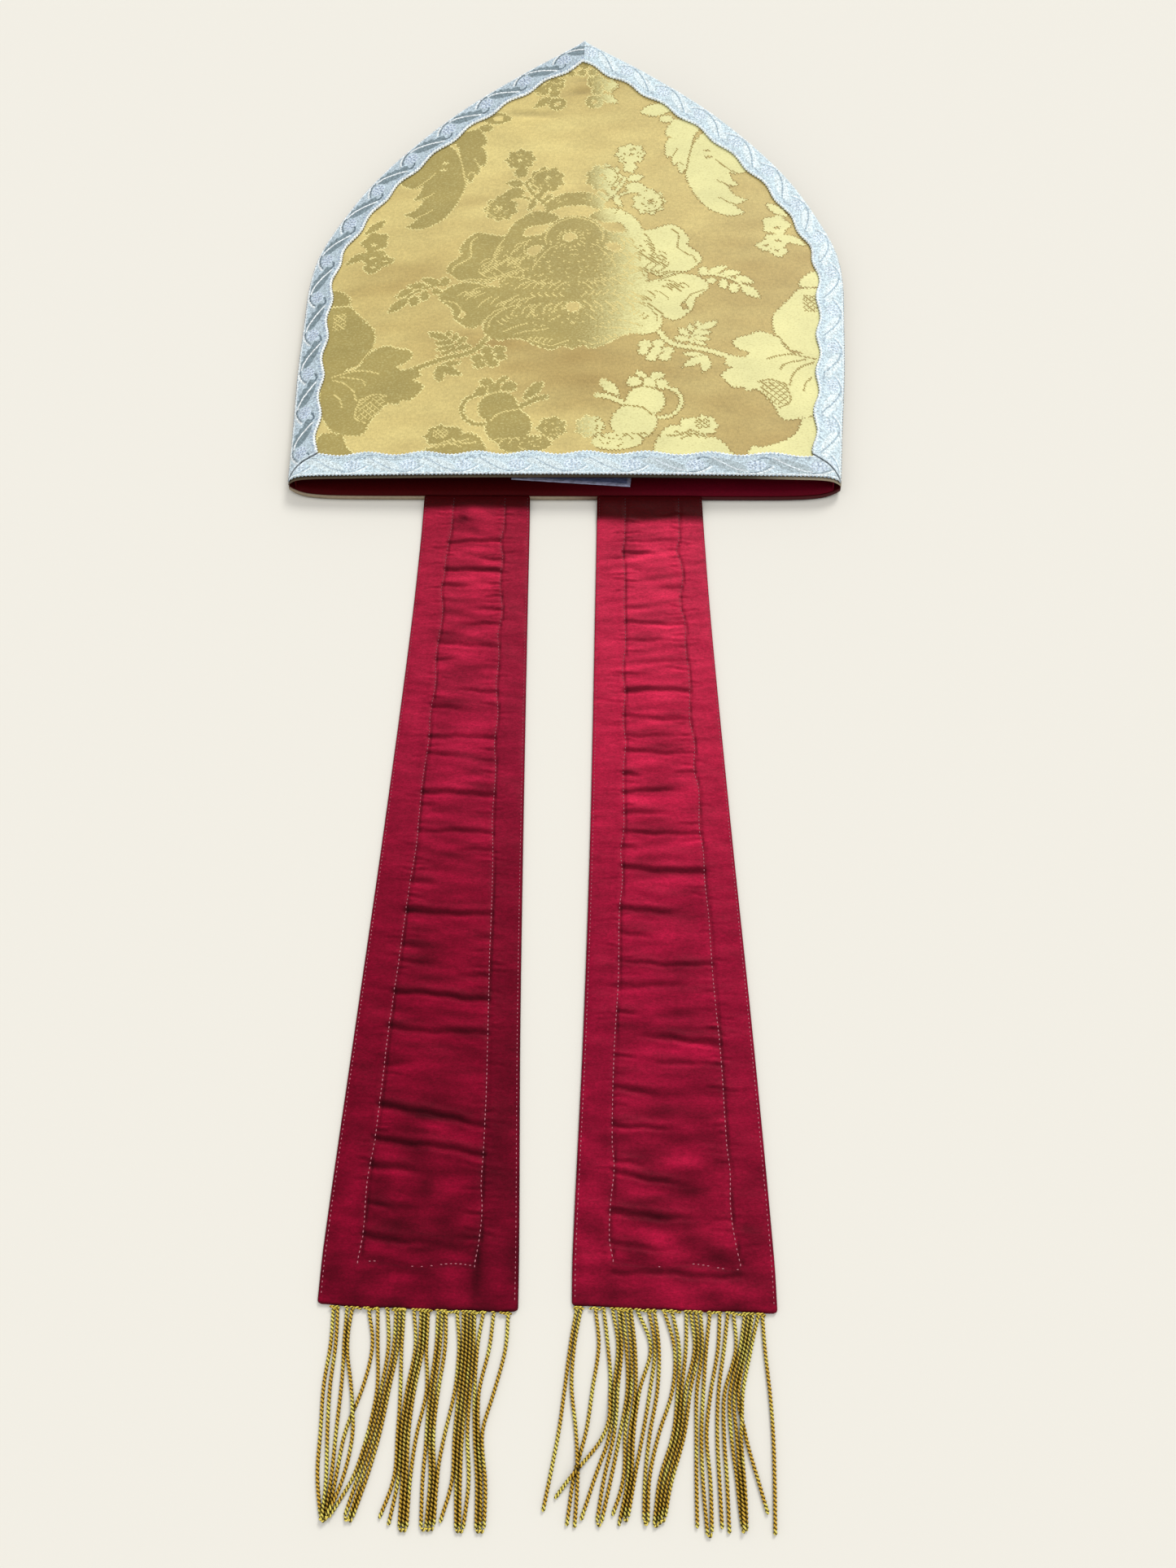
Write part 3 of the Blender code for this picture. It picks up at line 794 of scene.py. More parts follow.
def cells_inside(shapes, a, b):
    """Which cells of a grid of pattern places lie inside any of the shapes."""
    found = np.zeros(a.shape, bool)
    for shape in shapes:
        low, high = shape.min(0), shape.max(0)
        near = (a >= low[0]) & (a <= high[0]) & (b >= low[1]) & (b <= high[1])
        if near.any():
            found[near] |= inside(shape, a[near], b[near])
    return found


def blocks_of(cells, xs, ys, longest):
    """Rectangles (x0, y0, x1, y1) that cover the set cells, at most that many cells long."""
    found, growing = [], {}
    for k, row in enumerate([*cells, np.zeros(cells.shape[1], bool)]):
        marks = row * (1 + np.arange(len(row)) // longest)
        ends = np.flatnonzero(np.diff(np.concatenate([[0], marks, [0]])))
        runs = [(a, b) for a, b in zip(ends, ends[1:]) if marks[a]]
        for run in [run for run in growing if run not in runs or k - growing[run] >= longest]:
            found.append((run[0], growing.pop(run), run[1], k))
        for run in runs:
            growing.setdefault(run, k)
    corner = np.array([xs[0], ys[0], xs[0], ys[0]]) - CELL / 2
    return corner + CELL * np.array(found)


def zigzag(turns):
    """A triangle wave between -1 and 1, once a turn."""
    return 4 * np.abs(turns - np.floor(turns + 0.5)) - 1


def damask_cells():
    """The weave's grid, and which of its cells are figure, thread and edge."""
    xs = np.arange(*WEAVE_ACROSS, CELL)
    ys = np.arange(*WEAVE_UP, CELL)
    x, y = np.meshgrid(xs, ys)
    off_axis = x - PATTERN_TILT * (PATTERN_PIVOT - y)
    a, b = np.abs(off_axis), y - PATTERN_SKEW * off_axis
    a_cut = a + TOOTH * zigzag(b / TOOTH_STEP)
    b_cut = b + TOOTH * zigzag(a / TOOTH_STEP + 0.25)
    shapes = [shape for group in FIGURES for shape in group()]
    figure = cells_inside(shapes, a_cut, b_cut) & ~cells_inside(openings(), a_cut, b_cut)
    figure &= ~cells_inside([EYE_OPENING], off_axis, b)
    on_panel = np.abs(x) < half_width(y) - UNDER_GALLOON
    figure &= on_panel
    beads = (np.add.outer(np.arange(len(ys)), np.arange(len(xs))) % 3) != 0
    thread = cells_inside(threads(), a, b) | cells_inside(eye_teeth(), off_axis, b)
    thread &= on_panel & figure & beads
    # the edges: cells around the figures, light on the dull left and a painted shade on the bright right
    around = np.zeros_like(figure)
    for shift, direction in ((-1, 0), (1, 0), (-1, 1), (1, 1)):
        around |= np.roll(figure, shift, axis=direction)
    edge = around & ~figure & on_panel & beads
    return xs, ys, figure, thread, edge


# Colours of the damask, with its painted sheen and shade

GROUND_MEAN = 0.62
GROUND_FALL = 0.0012  # painted sheen: how much darker it gets with each mm to the right
GROUND_SHEEN_PATCHES = (
    # painted sheen and shade: across, up, radii, strength (dark is negative)
    (-30, 275, 80, 50, 0.05), (-70, 185, 40, 30, -0.06), (8, 80, 60, 30, -0.22),
    (-95, 110, 60, 30, -0.08), (-84, 226, 46, 7, -0.07), (-55, 98, 36, 13, -0.13),
    (-98, 152, 30, 15, -0.11), (-40, 262, 50, 8, 0.05), (20, 60, 40, 8, -0.06), (-30, 30, 40, 10, 0.05),
    (110, 35, 50, 40, -0.14), (110, 150, 60, 40, -0.12), (60, 240, 40, 60, 0.02),
    (-120, 150, 50, 30, -0.10), (0, 312, 26, 14, -0.12),
)
CLOUDS = (0.07, 36, 2.2, 5)  # painted sheen and shade in soft streaks: how strong, mm across, how many times longer than high, seed
# the ground's colours at its brightest painted sheen and at its darkest painted shade
GROUND_LIGHT = srgb(232, 214, 141)
GROUND_DARK = srgb(180, 154, 92)
DAMASK_SHEEN = {
    # painted sheen: dull on the left, bright on the right; the edges are a painted shade on the right
    "figure": (srgb(172, 155, 90), srgb(237, 232, 166)),
    "thread": (srgb(232, 215, 143), srgb(164, 142, 76)),
    "edge": (srgb(250, 238, 168), srgb(150, 126, 66)),
}
LINING_RED = srgb(94, 2, 24)
# the lining's red in painted shade, where it lies in the mouth
LINING_IN_SHADE = srgb(66, 1, 4)
CUT_EDGE = srgb(80, 68, 51)  # the cloth's turned edge, under the galloon
CUT_EDGE_LIT = srgb(150, 138, 116)  # the same edge painted lighter, as lit, by the right side fold
BARE_BORDER = 10.5  # mm of it that the galloon is sure to cover
EDGE_ROUNDING = 0.45  # mm that the very edge of the cloth bends down
EDGE_SQUARENESS = 60


def blend(low, high, share):
    return low + (high - low) * np.asarray(share)[:, None]


def ground_share(x, y):
    """How bright the ground's painted sheen and shade are: 0 for the darkest tone and 1 for the lightest."""
    share = np.full(x.shape, GROUND_MEAN) - GROUND_FALL * x
    for cx, cy, rx, ry, strength in GROUND_SHEEN_PATCHES:
        share += 2.4 * strength * np.exp(-(((x - cx) / rx) ** 2) - ((y - cy) / ry) ** 2)
    strength, size, stretch, seed = CLOUDS
    share += strength * soft_noise(x, stretch * y, size, np.random.default_rng(seed))
    return np.clip(share, 0, 1)


def ground_colours(x, y):
    return blend(GROUND_DARK, GROUND_LIGHT, ground_share(x, y))


# Where the satin's painted sheen turns from dull to bright

SATIN_TURN = (
    # up from the rim, place across where the satin turns, half width of the turn
    (0, 10, 14), (60, 12, 14), (90, 24, 26), (130, 28, 30), (160, 30, 22), (185, 27, 16), (205, 17, 11),
    (240, 12, 10), (354, 14, 14),
)


def past_turn(x, y):
    """How far right of the line where the satin turns from dull to bright: -1 to 1 across the turn."""
    return (x - read_table(SATIN_TURN, 1, y)) / read_table(SATIN_TURN, 2, y)


def turn_share(x, y):
    """The figures' painted sheen: 0 where they look dull, on the left, and 1 where they shine, on the right.
    """
    return smoothstep(-1, 1, past_turn(x, y))


def thread_share(x, y):
    """The same painted sheen for the single threads and the edges around the figures, which turn from bright
    to dark later and faster.
    """
    return smoothstep(0.3, 0.6, past_turn(x, y))


# Creases in the front panel: soft folds that run across the cloth

CREASE_SHADE = 0.28
DEEP_CREASE = 0.7  # mm deep, where the shade is full
CREASES = (
    # middle, half length, half width, depth, slope
    (-34, 295, 17, 2.6, 0.7, -0.05), (-2, 312, 9, 2.4, 0.5, 0.1), (0, 322, 7, 2.0, 0.4, 0.1),
    (-55, 222, 30, 3.0, 0.15, 0.2),
)


def creases(x, y):
    depth = np.zeros(np.broadcast(x, y).shape)
    for cx, cy, rx, ry, fold, slope in CREASES:
        along = (x - cx) / rx
        off = (y - cy - slope * (x - cx)) / ry
        depth += fold * np.exp(-(along**2) - off**2)
        depth -= 0.45 * fold * np.exp(-(along**2) - (off + 1.8) ** 2)
    return depth


def panel_face(x, y):
    return front_top(x, y) - creases(x, y)


def band_depth(x, y):
    """How far a place lies in from the panel's edge or from its rim."""
    slope = (half_width(y + 0.5) - half_width(y - 0.5)) / 1.0
    return np.minimum(y, (half_width(y) - np.abs(x)) / np.sqrt(1 + slope**2))


def panel_grid(heights, columns):
    """Places x and y over a panel in rows at those heights, and each column's share of the half width."""
    shares = column_shares(columns)
    x = shares[None, :] * half_width(heights)[:, None]
    return x, np.broadcast_to(heights[:, None], x.shape), shares[None, :]


def make_front_panel():
    lower_rows, upper_rows = np.arange(3, 150, 3.0), np.arange(150, PANEL_HEIGHT - 1, 2.0)
    heights = np.concatenate([[0, 1], lower_rows, upper_rows, [PANEL_HEIGHT]])
    x, y, shares = panel_grid(heights, 100)
    rounding = EDGE_ROUNDING * np.abs(shares) ** EDGE_SQUARENESS
    upper = np.stack([x, y, panel_face(x, y) - rounding], 2)
    wall = PANEL_WALL * (0.35 + 0.65 * smoothstep(0, 4, y))  # thinned to the rim's cut edge
    lower = np.stack([x, y, front_top(x, y) - wall], 2)
    item = closed_sheet("front_cloth", upper, lower, "damask")
    paint(item, front_colours(x, y))
    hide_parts("front_panel")


def front_colours(x, y):
    """The damask's ground with painted shade in its creases, and the cloth's edge under the galloon,
    painted lighter by the right side fold and painted as lit unevenly along the rim. The cloth's underside
    is painted as lining in shade."""
    bare = band_depth(x, y).ravel() < BARE_BORDER
    shade = CREASE_SHADE * np.clip(creases(x, y).ravel() / DEEP_CREASE, -0.4, 1)
    x, y = x.ravel(), y.ravel()
    colours = ground_colours(x, y) * (1 - shade)[:, None]
    colours[bare] = blend(CUT_EDGE, CUT_EDGE_LIT, smoothstep(95, 130, x))[bare]
    under = np.broadcast_to(LINING_IN_SHADE, colours.shape).copy()
    at_rim = y == 0
    light = 0.35 + 0.9 * smoothstep(20, -60, x) + 0.9 * smoothstep(70, 140, x)
    colours[at_rim] *= light[at_rim, None]
    under[at_rim] = colours[at_rim]
    return np.concatenate([colours, under])


def on_face(x, y):
    return np.stack([x, y, panel_face(x, y)], -1)


def make_damask_figures():
    xs, ys, figure, thread, edge = damask_cells()
    for name, cells in (("figure", figure), ("thread", thread), ("edge", edge)):
        blocks = blocks_of(cells, xs, ys, LONGEST_FLOAT)
        item = add_blocks(f"damask_{name}s", blocks, on_face, DAMASK_RISE[name], "damask", name)
        points = np.array([v.co for v in item.data.vertices]) / MM
        share = turn_share if name == "figure" else thread_share
        paint(item, share(points[:, 0], points[:, 1] - RIM_Y)[:, None])


# Galloon. Its pattern is drawn in mm along the band from each leaf's foot, and mm in from
# the band's outer edge. The inner edge is scalloped.

REPEAT = 31.0
SWELL = 1.2  # how far the scallops swing each way
PICOT = 0.4  # the small waves of both edges
PICOT_STEP = 2.1
SEAM_BULGE = 1.6  # the mitre seams bend this far towards the side bands
LEAF_FEET = {
    # where the leaves start, mm along each band
    "left": (21, 52, 82.5, 113.5, 144.5, 177.5, 211.5, 244.5, 277.5, 311.5, 343, 373, 403.5),
    "right": (13, 41.5, 71.5, 102, 135, 167.5, 202, 232, 263.5, 295.5, 325, 354.5, 384.5),
    "base": (16, 50, 82, 117, 148, 178, 206.5, 237, 268),
}
WIDEST = {"left": -7.5, "right": -13.4, "base": -11.5}  # the scallop's crest, from a leaf's foot
GALLOON_TONES = {
    # painted sheen: dull look on the left, bright look on the right
    "ground": ((186, 203, 213), (209, 228, 236)),
    "leaf": ((126, 144, 152), (229, 243, 247)),
    "vein": ((246, 252, 255), (166, 187, 200)),
    "white": ((248, 254, 255), (242, 252, 255)),
    "shade": ((92, 110, 122), (180, 199, 212)),
    "net": ((208, 222, 234), (226, 240, 249)),
    "dots": ((148, 164, 188), (182, 202, 218)),
}
GALLOON_RELIEF = {"leaf": 0.15, "vein": 0.3, "white": 0.2, "net": 0.12, "shade": -0.1}
# painted shade on the band's side walls and base
BAND_WALL_SHADE = srgb(78, 72, 58)
BAND_ROUNDING = 0.4


def corner_seam(x, y):
    """How far a place lies from the mitre seam: more than 0 on the side band's part."""
    inner_y = RIM_MARGIN + GALLOON_WIDTH
    start = np.array([float(half_width(RIM_MARGIN)), RIM_MARGIN])
    chord = np.array([float(half_width(inner_y)) - GALLOON_WIDTH, inner_y]) - start
    length = np.hypot(*chord)
    across_x, across_y = np.abs(x) - start[0], y - start[1]
    along = (across_x * chord[0] + across_y * chord[1]) / length
    off = (across_x * chord[1] - across_y * chord[0]) / length
    return off - SEAM_BULGE * np.sin(np.pi * np.clip(along / length, 0, 1))


class Ribbon:
    """A length of galloon laid along an outer edge, with its ends cut off at a seam."""

    def __init__(self, part, height, bow=None):
        y = np.linspace(RIM_MARGIN, PANEL_HEIGHT, 1500)
        x = half_width(y)
        if part == "left":
            self.edge = np.stack([-x, y], 1)
        elif part == "right":
            self.edge = np.stack([x, y], 1)[::-1]
        else:
            self.edge = np.stack([np.linspace(x[0], -x[0], 900), np.full(900, RIM_MARGIN)], 1)
        steps = np.linalg.norm(np.diff(self.edge, axis=0), axis=1)
        self.at = np.concatenate([[0], np.cumsum(steps)])
        self.length = float(self.at[-1])
        along = np.gradient(self.edge, axis=0)
        along /= np.linalg.norm(along, axis=1, keepdims=True)
        self.inward = np.stack([along[:, 1], -along[:, 0]], 1)
        self.part, self.height, self.bow = part, height, bow

    def motif_place(self, along):
        """mm along, counted anew from each leaf's foot."""
        feet = np.array(LEAF_FEET[self.part], float)
        feet = np.concatenate([[feet[0] - REPEAT], feet, [feet[-1] + REPEAT]])
        return np.interp(along, feet, REPEAT * np.arange(-1, len(feet) - 1))

    def width(self, along):
        swing = np.cos(2 * np.pi * (self.motif_place(along) - WIDEST[self.part]) / REPEAT)
        return GALLOON_WIDTH + SWELL * swing + PICOT * np.cos(2 * np.pi * along / PICOT_STEP)

    def flat_place(self, along, inset):
        edge = [np.interp(along, self.at, self.edge[:, k]) for k in (0, 1)]
        inward = [np.interp(along, self.at, self.inward[:, k]) for k in (0, 1)]
        return edge[0] + inward[0] * inset, edge[1] + inward[1] * inset

    def keeps(self, x, y):
        """Whether the band covers a place: it ends at the seams and at the point."""
        seam = corner_seam(x, y)
        if self.part == "base":
            return seam < -GAP / 2
        return (seam > GAP / 2) & (x * (-1 if self.part == "left" else 1) >= 0)

    def raised(self, x, y, rise):
        z = self.height(x, y) + rise - 0.5 * (rise > 0) * np.exp(-np.abs(corner_seam(x, y)) / 0.5)
        shift = self.bow(x, y) if self.bow else 0.0
        return np.stack([x, y - shift, z], -1)

    def grid(self, step, shares):
        """Places (along, inset, x, y) on the band, rows along it, that end exactly at its cuts."""
        rows = int(self.length / step)
        columns = []
        everywhere = np.linspace(0, self.length, 4000)
        for share in shares:
            places = self.flat_place(everywhere, share * self.width(everywhere))
            covered = everywhere[self.keeps(*places)]
            along = np.linspace(covered[0], covered[-1], rows)
            inset = share * self.width(along)
            inset += PICOT * (1 - share) ** 8 * (1 + np.cos(2 * np.pi * along / PICOT_STEP))
            columns.append((along, inset, *self.flat_place(along, inset)))
        return (np.stack([column[k] for column in columns], 1) for k in range(4))


def galloon_shapes():
    """The shapes of one repeat of the pattern, those in front last."""
    tips = [(7.5, 2.9), (11, 2.4)], [(11.6, 4.2), (15, 4.6)], [(15.8, 6.6), (19, 7.2)]
    end = [(21.7, 8.6), (21, 10.4), (18.7, 12.2)]
    underside = [(14.5, 12), (11, 11.2), (6, 9), (2, 6.4), (0.3, 2.8)]
    strokes = ([(0.3, 2.8), (3, 1.9), (6.6, 1.5)], *tips, end, underside)
    foot = np.concatenate([smooth_line(stroke) for stroke in strokes])
    dots = [blob(-4, 6.9, 0.6, 0.6)]
    for count, reach_x, reach_y in ((9, 3.8, 2.7), (5, 1.9, 1.4)):
        for angle in np.linspace(0, 2 * np.pi, count, endpoint=False):
            dots.append(blob(-4 + reach_x * np.cos(angle), 6.9 + reach_y * np.sin(angle), 0.6, 0.6))
    return (
        ("net", [blob(-4, 6.9, 4.8, 3.6)]),
        ("dots", dots),
        ("white", [stem(0.9, (6, 0.9), (-1.8, 1.0), (-8.5, 2.9), (-12.6, 6.0))]),
        ("shade", [stem(0.9, (1.5, 2.5), (-3, 1.9), (-7.8, 3.6), (-11.3, 6.4))]),
        ("shade", [stem(1.1, (-4.8, 10.4), (-6.3, 11.9), (-9.4, 12.2), (-12, 10.7))]),
        ("leaf", [foot]),
        ("vein", [stem(0.9, (-0.5, 2.3), (4.2, 3.4), (9, 5.7), (13.9, 8.9), (18.7, 12.3))]),
    )


def galloon_kinds(ribbon, along, inset):
    """Which tone of the pattern each place on the band has."""
    place = ribbon.motif_place(along)
    from_inner = ribbon.width(along) - inset
    kinds = np.full(along.shape, "ground", "<U6")
    for kind, shapes in galloon_shapes():
        for turn in (0, REPEAT):
            kinds[cells_inside(shapes, place % REPEAT - turn, inset)] = kind
    plain = kinds == "ground"
    spots = np.sin(2 * np.pi * place / 2.2) + 0.8 * np.sin(2 * np.pi * place / 5.1 + inset) > 0.75
    kinds[plain & (from_inner < 2.8) & (from_inner > 1.2) & spots] = "dots"
    kinds[from_inner < 1.0] = "white"
    kinds[plain & (inset > 0.7) & (inset < 1.3)] = "white"
    kinds[(inset < 0.5) & (np.cos(2 * np.pi * place / 1.7) > 0.3)] = "dots"
    return kinds


def galloon_turn(part, x):
    """The galloon's painted sheen: 0 where it shows its dull look and 1 where it shows its bright one."""
    if part == "base":
        return 0.85 - 0.5 * smoothstep(20, 75, x)
    return np.full(np.shape(x), 0.0 if part == "left" else 1.0)


def galloon_colours(kinds, part, x, y):
    colours = np.zeros((*kinds.shape, 3))
    for kind, shades in GALLOON_TONES.items():
        left, right = (srgb(*shade) for shade in shades)
        here = kinds == kind
        colours[here] = blend(left, right, galloon_turn(part, x[here]))
    seam = np.abs(corner_seam(x, y))
    lip = 0.7 * np.exp(-((seam - 1.2) ** 2) / 0.2)[..., None]
    colours += (srgb(236, 248, 254) - colours) * lip
    return colours * (1 - 0.8 * np.exp(-((seam / 0.6) ** 2)))[..., None]


def make_band(part, side):
    """A length of galloon: with its whole pattern on the front, and plain on the hidden back."""
    outer, inner = (0, 0.01, 0.03), (0.97, 0.99, 1)  # shares of its width near its edges
    if side == "front":
        ribbon = Ribbon(part, lambda x, y: front_top(x, y) + GAP)
        shares = np.array([*outer, *np.linspace(0.06, 0.94, 28), *inner])
        along, inset, x, y = ribbon.grid(0.5, shares)
        kinds = galloon_kinds(ribbon, along, inset)
    else:
        ribbon = Ribbon(part, back_curl, back_bow)
        shares = np.array([*outer, 0.5, *inner])
        along, inset, x, y = ribbon.grid(1.0, shares)
        kinds = np.full(x.shape, "ground")
    relief = np.zeros(x.shape)
    for kind, rise in GALLOON_RELIEF.items():
        relief[kinds == kind] = rise
    rounding = BAND_ROUNDING * (np.abs(2 * shares - 1) ** EDGE_SQUARENESS)[None, :]
    upper = ribbon.raised(x, y, GALLOON_WALL - rounding + relief * (rounding < 0.05))
    points, faces = top_and_base(upper, ribbon.raised(x, y, 0.0)[..., 2])
    item = add_mesh(f"{side}_{part}_band_ribbon", points, faces, "galloon")
    colours = galloon_colours(kinds, part, x, y).reshape(-1, 3)
    # the side walls and base painted in shade
    below = np.broadcast_to(BAND_WALL_SHADE, (len(points) - len(colours), 3))
    paint(item, np.concatenate([colours, below]))
    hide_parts(f"{side}_{part}_band")


def make_bands():
    for side in ("front", "back"):
        for part in ("left", "right", "base"):
            make_band(part, side)


# Back panel, lining, gusset and label

TURNED_HEM = 5  # mm of the back panel's cloth that is turned to the inside
BACK_RIM = srgb(150, 134, 112)
BACK_EDGE = 0.6  # mm of turned edge that shows along the back panel's rim
SHADED_INSIDE = 20  # mm of its inside that lies in the mouth's shade


def make_back_panel():
    lowest_rows, rows = [0, 0.6, 1.2, 1.6], np.arange(5, PANEL_HEIGHT - 1, 5.0)
    x, y, _ = panel_grid(np.concatenate([lowest_rows, rows, [PANEL_HEIGHT]]), 60)
    z = BACK_TOP + back_curl(x, y) - 0.3 * (y == 0)
    shifted = y - back_bow(x, y)
    upper = np.stack([x, shifted, z], 2)
    lower = np.stack([x, shifted, z - PANEL_WALL], 2)
    item = closed_sheet("back_cloth", upper, lower, "damask")
    paint(item, back_colours(x, y))
    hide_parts("back_panel")


def back_colours(x, y):
    """Red lining inside the turned hem, painted in shade just inside the rim. The edge and the outside pale
    on the left only, painted as lining in shade on the right.
    """
    lined = band_depth(x, y).ravel() > TURNED_HEM
    x, y = x.ravel(), y.ravel()
    colours = ground_colours(x, y)
    colours[lined] = LINING_RED
    edge = blend(BACK_RIM, LINING_IN_SHADE, smoothstep(0, 30, x))
    colours[y <= BACK_EDGE] = edge[y <= BACK_EDGE]
    colours[(y > BACK_EDGE) & (y < SHADED_INSIDE)] = LINING_IN_SHADE
    return np.concatenate([colours, edge])


def lining_ring(y, wall):
    half = half_width(y) - LINING_INSET - wall
    x = column_shares(60) * half
    top = front_top(x, y) - PANEL_WALL - GAP - wall
    upper = np.stack([x, np.full_like(x, y), top], 1)
    x = x[::-1]
    forward = 0.5 * (1 - smoothstep(0, BOW_DEPTH, y))
    lower = np.stack([x, y - back_bow(x, y) - forward, BACK_TOP + back_curl(x, y) + GAP + wall], 1)
    ripple = 0.12 * np.sin(x / 7.0 + y / 5.0) + 0.1 * np.sin(x / 3.1 - y / 9.0)
    lower[:, 2] += ripple * (0 < wall)
    return np.concatenate([upper, lower])


def make_lining():
    depths = np.linspace(LINING_START, LINING_DEPTH, 36)
    outer = [lining_ring(y, 0) for y in depths]
    inner = [lining_ring(y, LINING_CLOTH) for y in (*depths[:-1], LINING_DEPTH - LINING_CLOTH)]
    rings = [*outer[::-1], *inner]
    count = len(rings[0])
    faces = []
    for k in range(len(rings) - 1):
        a = k * count + np.arange(count)
        b = k * count + (np.arange(count) + 1) % count
        faces += np.stack([a, b, b + count, a + count], 1).tolist()
    half = count // 2
    for base in (0, (len(rings) - 1) * count):
        for k in range(half - 1):
            faces.append([base + k, base + k + 1, base + count - 2 - k, base + count - 1 - k])
    points = np.concatenate(rings)
    item = add_mesh("lining_cloth", points, faces, "lining")
    fix_normals(item)
    # painted shade over the lining, deeper towards the left of the mouth
    paint(item, blend(LINING_IN_SHADE, LINING_RED, smoothstep(-20, 90, points[:, 0])))
    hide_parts("lining")


def fix_normals(item):
    mesh = bmesh.new()
    mesh.from_mesh(item.data)
    bmesh.ops.recalc_face_normals(mesh, faces=mesh.faces)
    mesh.to_mesh(item.data)
    mesh.free()


def make_gusset():
    heights = np.linspace(GUSSET_CREASE, GUSSET_TOP, 40)
    skins = []
    for wall in (0.0, LINING_WALL):
        rows = []
        for k, y in enumerate([*heights[::-1], *heights]):
            x = column_shares(40) * (half_width(y) - GUSSET_INSET - wall)
            if k < len(heights):
                z = front_top(x, y) - PANEL_WALL - GAP - wall
            else:
                z = BACK_TOP + back_curl(x, y) + GAP + wall
            forward = wall if y == heights[0] else 0.0
            rows.append(np.stack([x, np.full_like(x, y + forward), z], 1))
        skins.append(np.stack(rows))
    item = closed_sheet("gusset_cloth", *skins, "lining")
    fix_normals(item)
    paint(item, LINING_RED)
    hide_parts("gusset")


LABEL_SIZE = (65, 20, 0.6)
LABEL_CENTRE = (5.5, 13.2)
LABEL_TURN = math.radians(-4.4)
LABEL_HEM = 1.5
LABEL_BLUE = srgb(92, 100, 136)
LABEL_PALE = srgb(158, 162, 188)


def make_label():
    width, depth, wall = LABEL_SIZE
    base = BACK_TOP + GAP + LINING_WALL + GAP
    x, y = np.meshgrid(np.linspace(-width / 2, width / 2, 90), np.linspace(-depth / 2, depth / 2, 30))
    cos, sin = math.cos(LABEL_TURN), math.sin(LABEL_TURN)
    turned_x = LABEL_CENTRE[0] + x * cos - y * sin
    turned_y = LABEL_CENTRE[1] + x * sin + y * cos
    upper = np.stack([turned_x, turned_y, np.full_like(x, base + wall)], 2)
    lower = np.stack([turned_x, turned_y, np.full_like(x, base)], 2)
    item = closed_sheet("label_patch", upper, lower, "label")
    hem = (np.abs(y) > depth / 2 - LABEL_HEM) | (np.abs(x) > width / 2 - LABEL_HEM)
    colours = blend(LABEL_BLUE, LABEL_PALE, hem.ravel())
    paint(item, np.concatenate([colours, colours]))
    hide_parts("label")


# Lappets

LEFT_LAPPET = (
    # below rim, left edge, right edge
    (0, -74.6, -17.0), (80, -73.6, -13.8), (200, -74.6, -8.6), (300, -76.4, -3.9), (390, -78.0, 1.2),
    (413, -77.6, 2.2),
)
RIGHT_LAPPET = (
    # columns as on the left
    (0, 19.4, 75.8), (80, 20.9, 80.2), (200, 22.9, 88.8), (300, 23.4, 96.6), (390, 22.7, 102.8),
    (410, 23.2, 103.5),
)
LEFT_QUILTING = (
    # below rim, left line, right line
    (0, -58.0, -30.4), (26, -58.3, -30.2), (35, -58.8, -31.1), (45, -59.4, -29.3), (57, -59.2, -29.6),
    (66, -60.0, -29.1), (80, -58.0, -27.1), (94, -58.4, -28.2), (108, -58.9, -26.8), (125, -57.6, -27.0),
    (141, -58.5, -24.9), (157, -57.8, -25.5), (173, -58.6, -23.8), (199, -58.5, -23.5),
    (213, -58.2, -22.2), (238, -59.4, -20.8), (270, -60.3, -19.6), (300, -61.4, -18.0),
    (330, -61.6, -16.6), (350, -62.0, -16.0), (365, -63.1, -15.9), (375, -62.8, -14.8),
    (386, -62.3, -15.0), (396, -63.3, -16.1),
)
RIGHT_QUILTING = (
    # columns as on the left
    (0, 34.6, 63.2), (33, 34.8, 63.5), (40, 33.9, 62.4), (49, 34.8, 64.8), (58, 35.6, 65.7),
    (73, 35.6, 64.2), (87, 36.4, 67.0), (101, 36.9, 67.1), (115, 35.8, 68.7), (128, 37.4, 69.3),
    (143, 36.8, 69.3), (157, 38.3, 71.6), (171, 37.6, 71.4), (182, 37.9, 73.6), (202, 38.6, 73.8),
    (214, 37.5, 75.6), (228, 38.6, 76.1), (245, 37.6, 77.8), (275, 38.0, 79.6), (310, 37.0, 82.6),
    (347, 37.3, 84.6), (357, 38.4, 85.8), (372, 37.3, 85.8), (385, 37.3, 87.6), (393, 39.0, 89.4),
)
